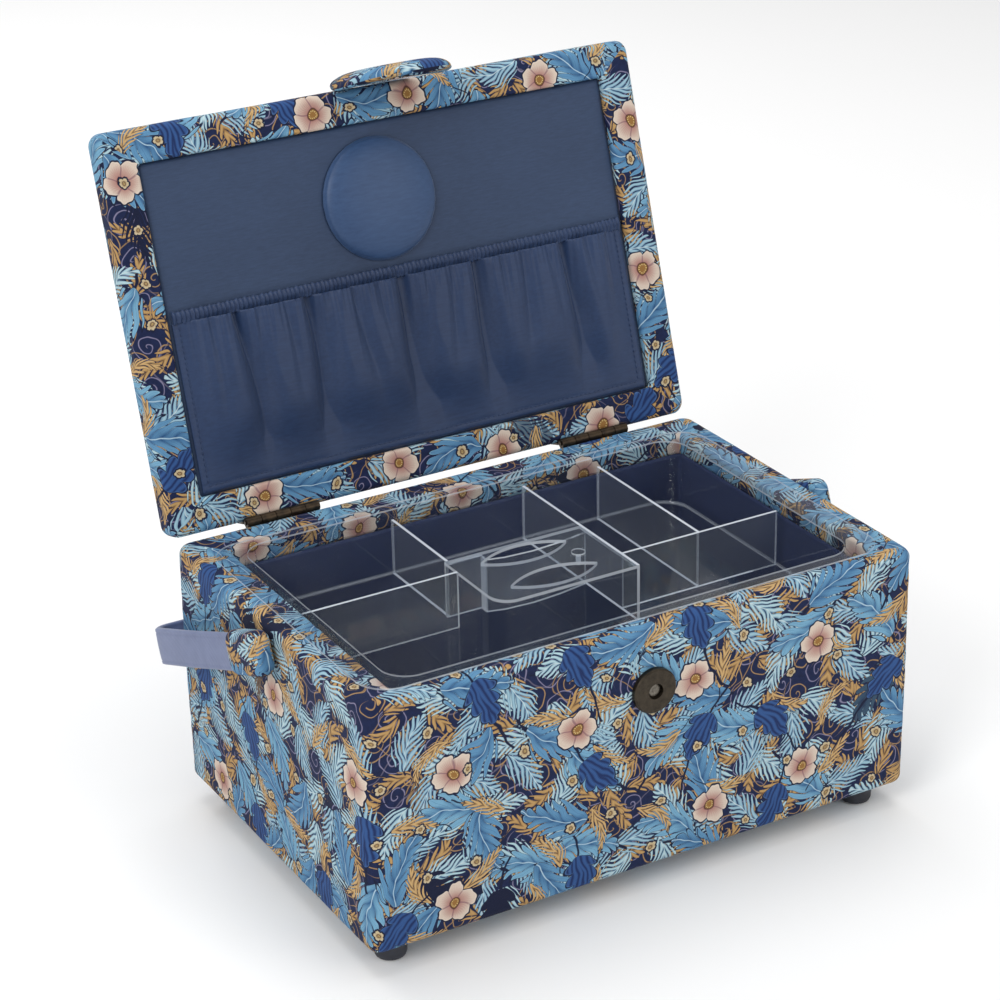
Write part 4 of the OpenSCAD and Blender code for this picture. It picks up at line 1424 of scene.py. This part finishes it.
def handle():
    # centreline of the strap in plan: arm, corner, cross run, corner, arm
    x_arm = HO - 1.5
    path = []
    rc = 10.5
    for k in range(25):
        t = k / 24
        y = 4 + (REACH - rc - 4) * t
        bow = 1.5 * math.sin(PI * min(1, t * 0.62)) ** 2 + 0.6 * t * t
        path.append((-(x_arm + bow - 0.6 * (1 - t) * 0), y))
    cx0 = path[-1][0] + rc
    for k in range(1, 13):
        a = PI - PI / 2 * k / 12
        path.append((cx0 + rc * math.cos(a), REACH - rc + (rc - 1.0) * math.sin(a)))
    n_half = len(path)
    x_end = path[-1][0]
    cross = []
    for k in range(1, 30):
        t = k / 30
        cross.append((x_end + (-x_end - x_end) * t, REACH - 1.0 + 0.5 * math.sin(PI * t)))
    path = path + cross + [(-x, y) for x, y in reversed(path)]
    # remove doubles
    out = [path[0]]
    for q in path[1:]:
        if math.hypot(q[0] - out[-1][0], q[1] - out[-1][1]) > 0.2:
            out.append(q)
    path = out
    W, Th = 16.4 / 2, 3.0 / 2
    prof = []
    # stitched channel near each edge of both faces
    side = [(-W + 0.2, 0.35), (-W + 0.7, 0.92), (-W + 1.5, 1.0), (-W + 2.1, 0.86), (-W + 2.7, 1.0), (-3.5, 1.05), (0, 1.08), (3.5, 1.05), (W - 2.7, 1.0), (W - 2.1, 0.86), (W - 1.5, 1.0),
            (W - 0.7, 0.92), (W - 0.2, 0.35)]
    prof = [(w, Th * h) for w, h in side] + [(w, -Th * h) for w, h in reversed(side)]
    m = len(prof)
    verts, faces = [], []
    for i, q in enumerate(path):
        a = path[max(0, i - 1)]
        b = path[min(len(path) - 1, i + 1)]
        tx, ty = b[0] - a[0], b[1] - a[1]
        ln = math.hypot(tx, ty) or 1
        nx_, ny_ = ty / ln, -tx / ln
        wob = 0.25 * nz(i * 0.12, 3, 1)
        for w, h in prof:
            verts.append((q[0] + nx_ * h, q[1] + ny_ * h, w + wob))
    for i in range(len(path) - 1):
        for j in range(m):
            j2 = (j + 1) % m
            faces.append((i * m + j, i * m + j2, (i + 1) * m + j2, (i + 1) * m + j))
    faces.append(tuple(range(m - 1, -1, -1)))
    faces.append(tuple((len(path) - 1) * m + j for j in range(m)))
    ob = mesh_object("handle_strap_band", verts, faces, None, handled, (STRAP,))
    bm = bmesh.new()
    bm.from_mesh(ob.data)
    bmesh.ops.recalc_face_normals(bm, faces=bm.faces)
    bm.to_mesh(ob.data)
    bm.free()
    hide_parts("handle_strap")
    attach(ob, "handle")

    # padded ends
    for s, name, node in ((-1, "handle_pad_left", "handle_end_left"), (1, "handle_pad_right", "handle_end_right")):
        x0, x1 = HW + 1.2, HW + 11.8
        nu_, nv_, nw_ = 20, 16, 8
        lo, hi = Vector((x0 + 0.3, -14.6, -9.4)), Vector((x1 - 0.35, 15.6, 9.4))
        c, hf = (lo + hi) / 2, (hi - lo) / 2
        bm = bmesh.new()
        bmesh.ops.create_cube(bm, size=2.0)
        bmesh.ops.subdivide_edges(bm, edges=bm.edges, cuts=13, use_grid_fill=True)
        rad = 3.8
        rc2 = 5.0
        for v in bm.verts:
            p = Vector((v.co.x * hf.x, v.co.y * hf.y, v.co.z * hf.z))
            # round the plan of the block (seen from the side), then its edges
            core = Vector((max(-hf.x + rad, min(hf.x - rad, p.x)), max(-hf.y + rad + 1.2, min(hf.y - rad - 1.2, p.y)), max(-hf.z + rad + 1.2, min(hf.z - rad - 1.2, p.z))))
            d = p - core
            k = Vector((d.x / rad, d.y / (rad + 1.2), d.z / (rad + 1.2)))
            if k.length > 1e-6:
                k.normalize()
                d = Vector((k.x * rad, k.y * (rad + 1.2), k.z * (rad + 1.2)))
            v.co = (core + d) + c
            v.co += Vector((0, 0, 0.0))
        bmesh.ops.recalc_face_normals(bm, faces=bm.faces)
        me = bpy.data.meshes.new(name)
        uvl = bm.loops.layers.uv.new("UVMap")
        for f in bm.faces:
            nrm = f.normal
            for lp in f.loops:
                q = lp.vert.co
                if abs(nrm.x) > 0.6:
                    uv = (q.y + 60 * s, q.z + 44)
                elif abs(nrm.z) > 0.6:
                    uv = (q.y + 60 * s, 44 + math.copysign(hf.z, q.z) + math.copysign(x1 - q.x, q.z))
                else:
                    uv = (60 * s + math.copysign(hf.y, q.y) + math.copysign(x1 - q.x, q.y), q.z + 44)
                lp[uvl].uv = (uv[0] * 0.01, uv[1] * 0.01)
        for v in bm.verts:
            p = handled((v.co.x * s, v.co.y, v.co.z))
            v.co = Vector([a * MM for a in p])
        if s < 0:
            bmesh.ops.reverse_faces(bm, faces=bm.faces)
        bmesh.ops.recalc_face_normals(bm, faces=bm.faces)
        bm.to_mesh(me)
        bm.free()
        for p in me.polygons:
            p.use_smooth = True
        pad = bpy.data.objects.new(name, me)
        SCENE.collection.objects.link(pad)
        me.materials.append(PRINT)
        xin = (HW + 2.2) * MM

        def pin(co, xin=xin):
            return 1.0 if abs(co.x) < xin else 0.0

        puff(pad, pin, pressure=2.0, cap=0.6, frames=12, name="cloth_pad")
        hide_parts(node)
        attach(pad, "handle")


handle()


# ------------------------------------------------------------------ small metal details
def lathe(name, prof, centre, axis, body, material, n=48):
    """prof: (radius, distance along the axis)"""
    axis = Vector(axis).normalized()
    side = Vector((1, 0, 0)) if abs(axis.x) < 0.9 else Vector((0, 1, 0))
    a1 = axis.cross(side).normalized()
    a2 = axis.cross(a1)
    verts, faces = [], []
    for r, h in prof:
        for i in range(n):
            a = 2 * PI * i / n
            verts.append(tuple(Vector(centre) + axis * h + a1 * (r * math.cos(a)) + a2 * (r * math.sin(a))))
    for k in range(len(prof) - 1):
        for i in range(n):
            i2 = (i + 1) % n
            faces.append((k * n + i, k * n + i2, (k + 1) * n + i2, (k + 1) * n + i))
    faces.append(tuple(range(n - 1, -1, -1)))
    faces.append(tuple((len(prof) - 1) * n + i for i in range(n)))
    ob = mesh_object(name, verts, faces, None, None, (material,))
    bm = bmesh.new()
    bm.from_mesh(ob.data)
    bmesh.ops.recalc_face_normals(bm, faces=bm.faces)
    bm.to_mesh(ob.data)
    bm.free()
    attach(ob, body)
    return ob


# the small face at the bottom of the snap's hole
lathe("snap_magnet_face", [(2.75, 0.35), (2.75, 1.05), (2.5, 1.25), (1.2, 1.3), (1.0, 1.1), (0.4, 1.05)], (0, -HD, 94), (0, -1, 0), "box", MAGNET)


# ------------------------------------------------------------------ floor, world and lights
def floor():
    me = bpy.data.meshes.new("floor")
    s = 6.0
    me.from_pydata([(-s, -s, 0), (s, -s, 0), (s, s, 0), (-s, s, 0)], [], [(0, 1, 2, 3)])
    ob = bpy.data.objects.new("floor", me)
    SCENE.collection.objects.link(ob)
    T = Tree("floor_paper")
    f = T.noise(T.scaled(3), 1.0, 2.0)
    T.color(T.mix(f.sat(1.0), (0.93, 0.93, 0.93, 1), (0.95, 0.95, 0.95, 1)))
    T.set(Roughness=0.9)
    me.materials.append(T.mat)


floor()
world = bpy.data.worlds.new("studio")
world.use_nodes = True
world.node_tree.nodes["Background"].inputs[0].default_value = (1, 1, 1, 1)
world.node_tree.nodes["Background"].inputs[1].default_value = 0.5
SCENE.world = world


def area(name, loc, target, size, power, size_y=None):
    d = bpy.data.lights.new(name, "AREA")
    d.shape = "RECTANGLE"
    d.size = size
    d.size_y = size_y or size
    d.energy = power
    o = bpy.data.objects.new(name, d)
    SCENE.collection.objects.link(o)
    o.location = loc
    o.rotation_mode = "QUATERNION"
    o.rotation_quaternion = (Vector(target) - Vector(loc)).to_track_quat("-Z", "Y")
    return o


area("key", (-1.75, -0.95, 1.5), (0, 0, 0.12), 1.0, 22)
area("fill", (0.9, -1.7, 1.0), (0, 0, 0.1), 1.2, 9)
area("top", (0.1, 0.3, 1.9), (0, 0, 0.1), 1.4, 14)
area("strip", (-0.2, 1.5, 1.1), (0, 0, 0.15), 1.2, 7, 0.3)
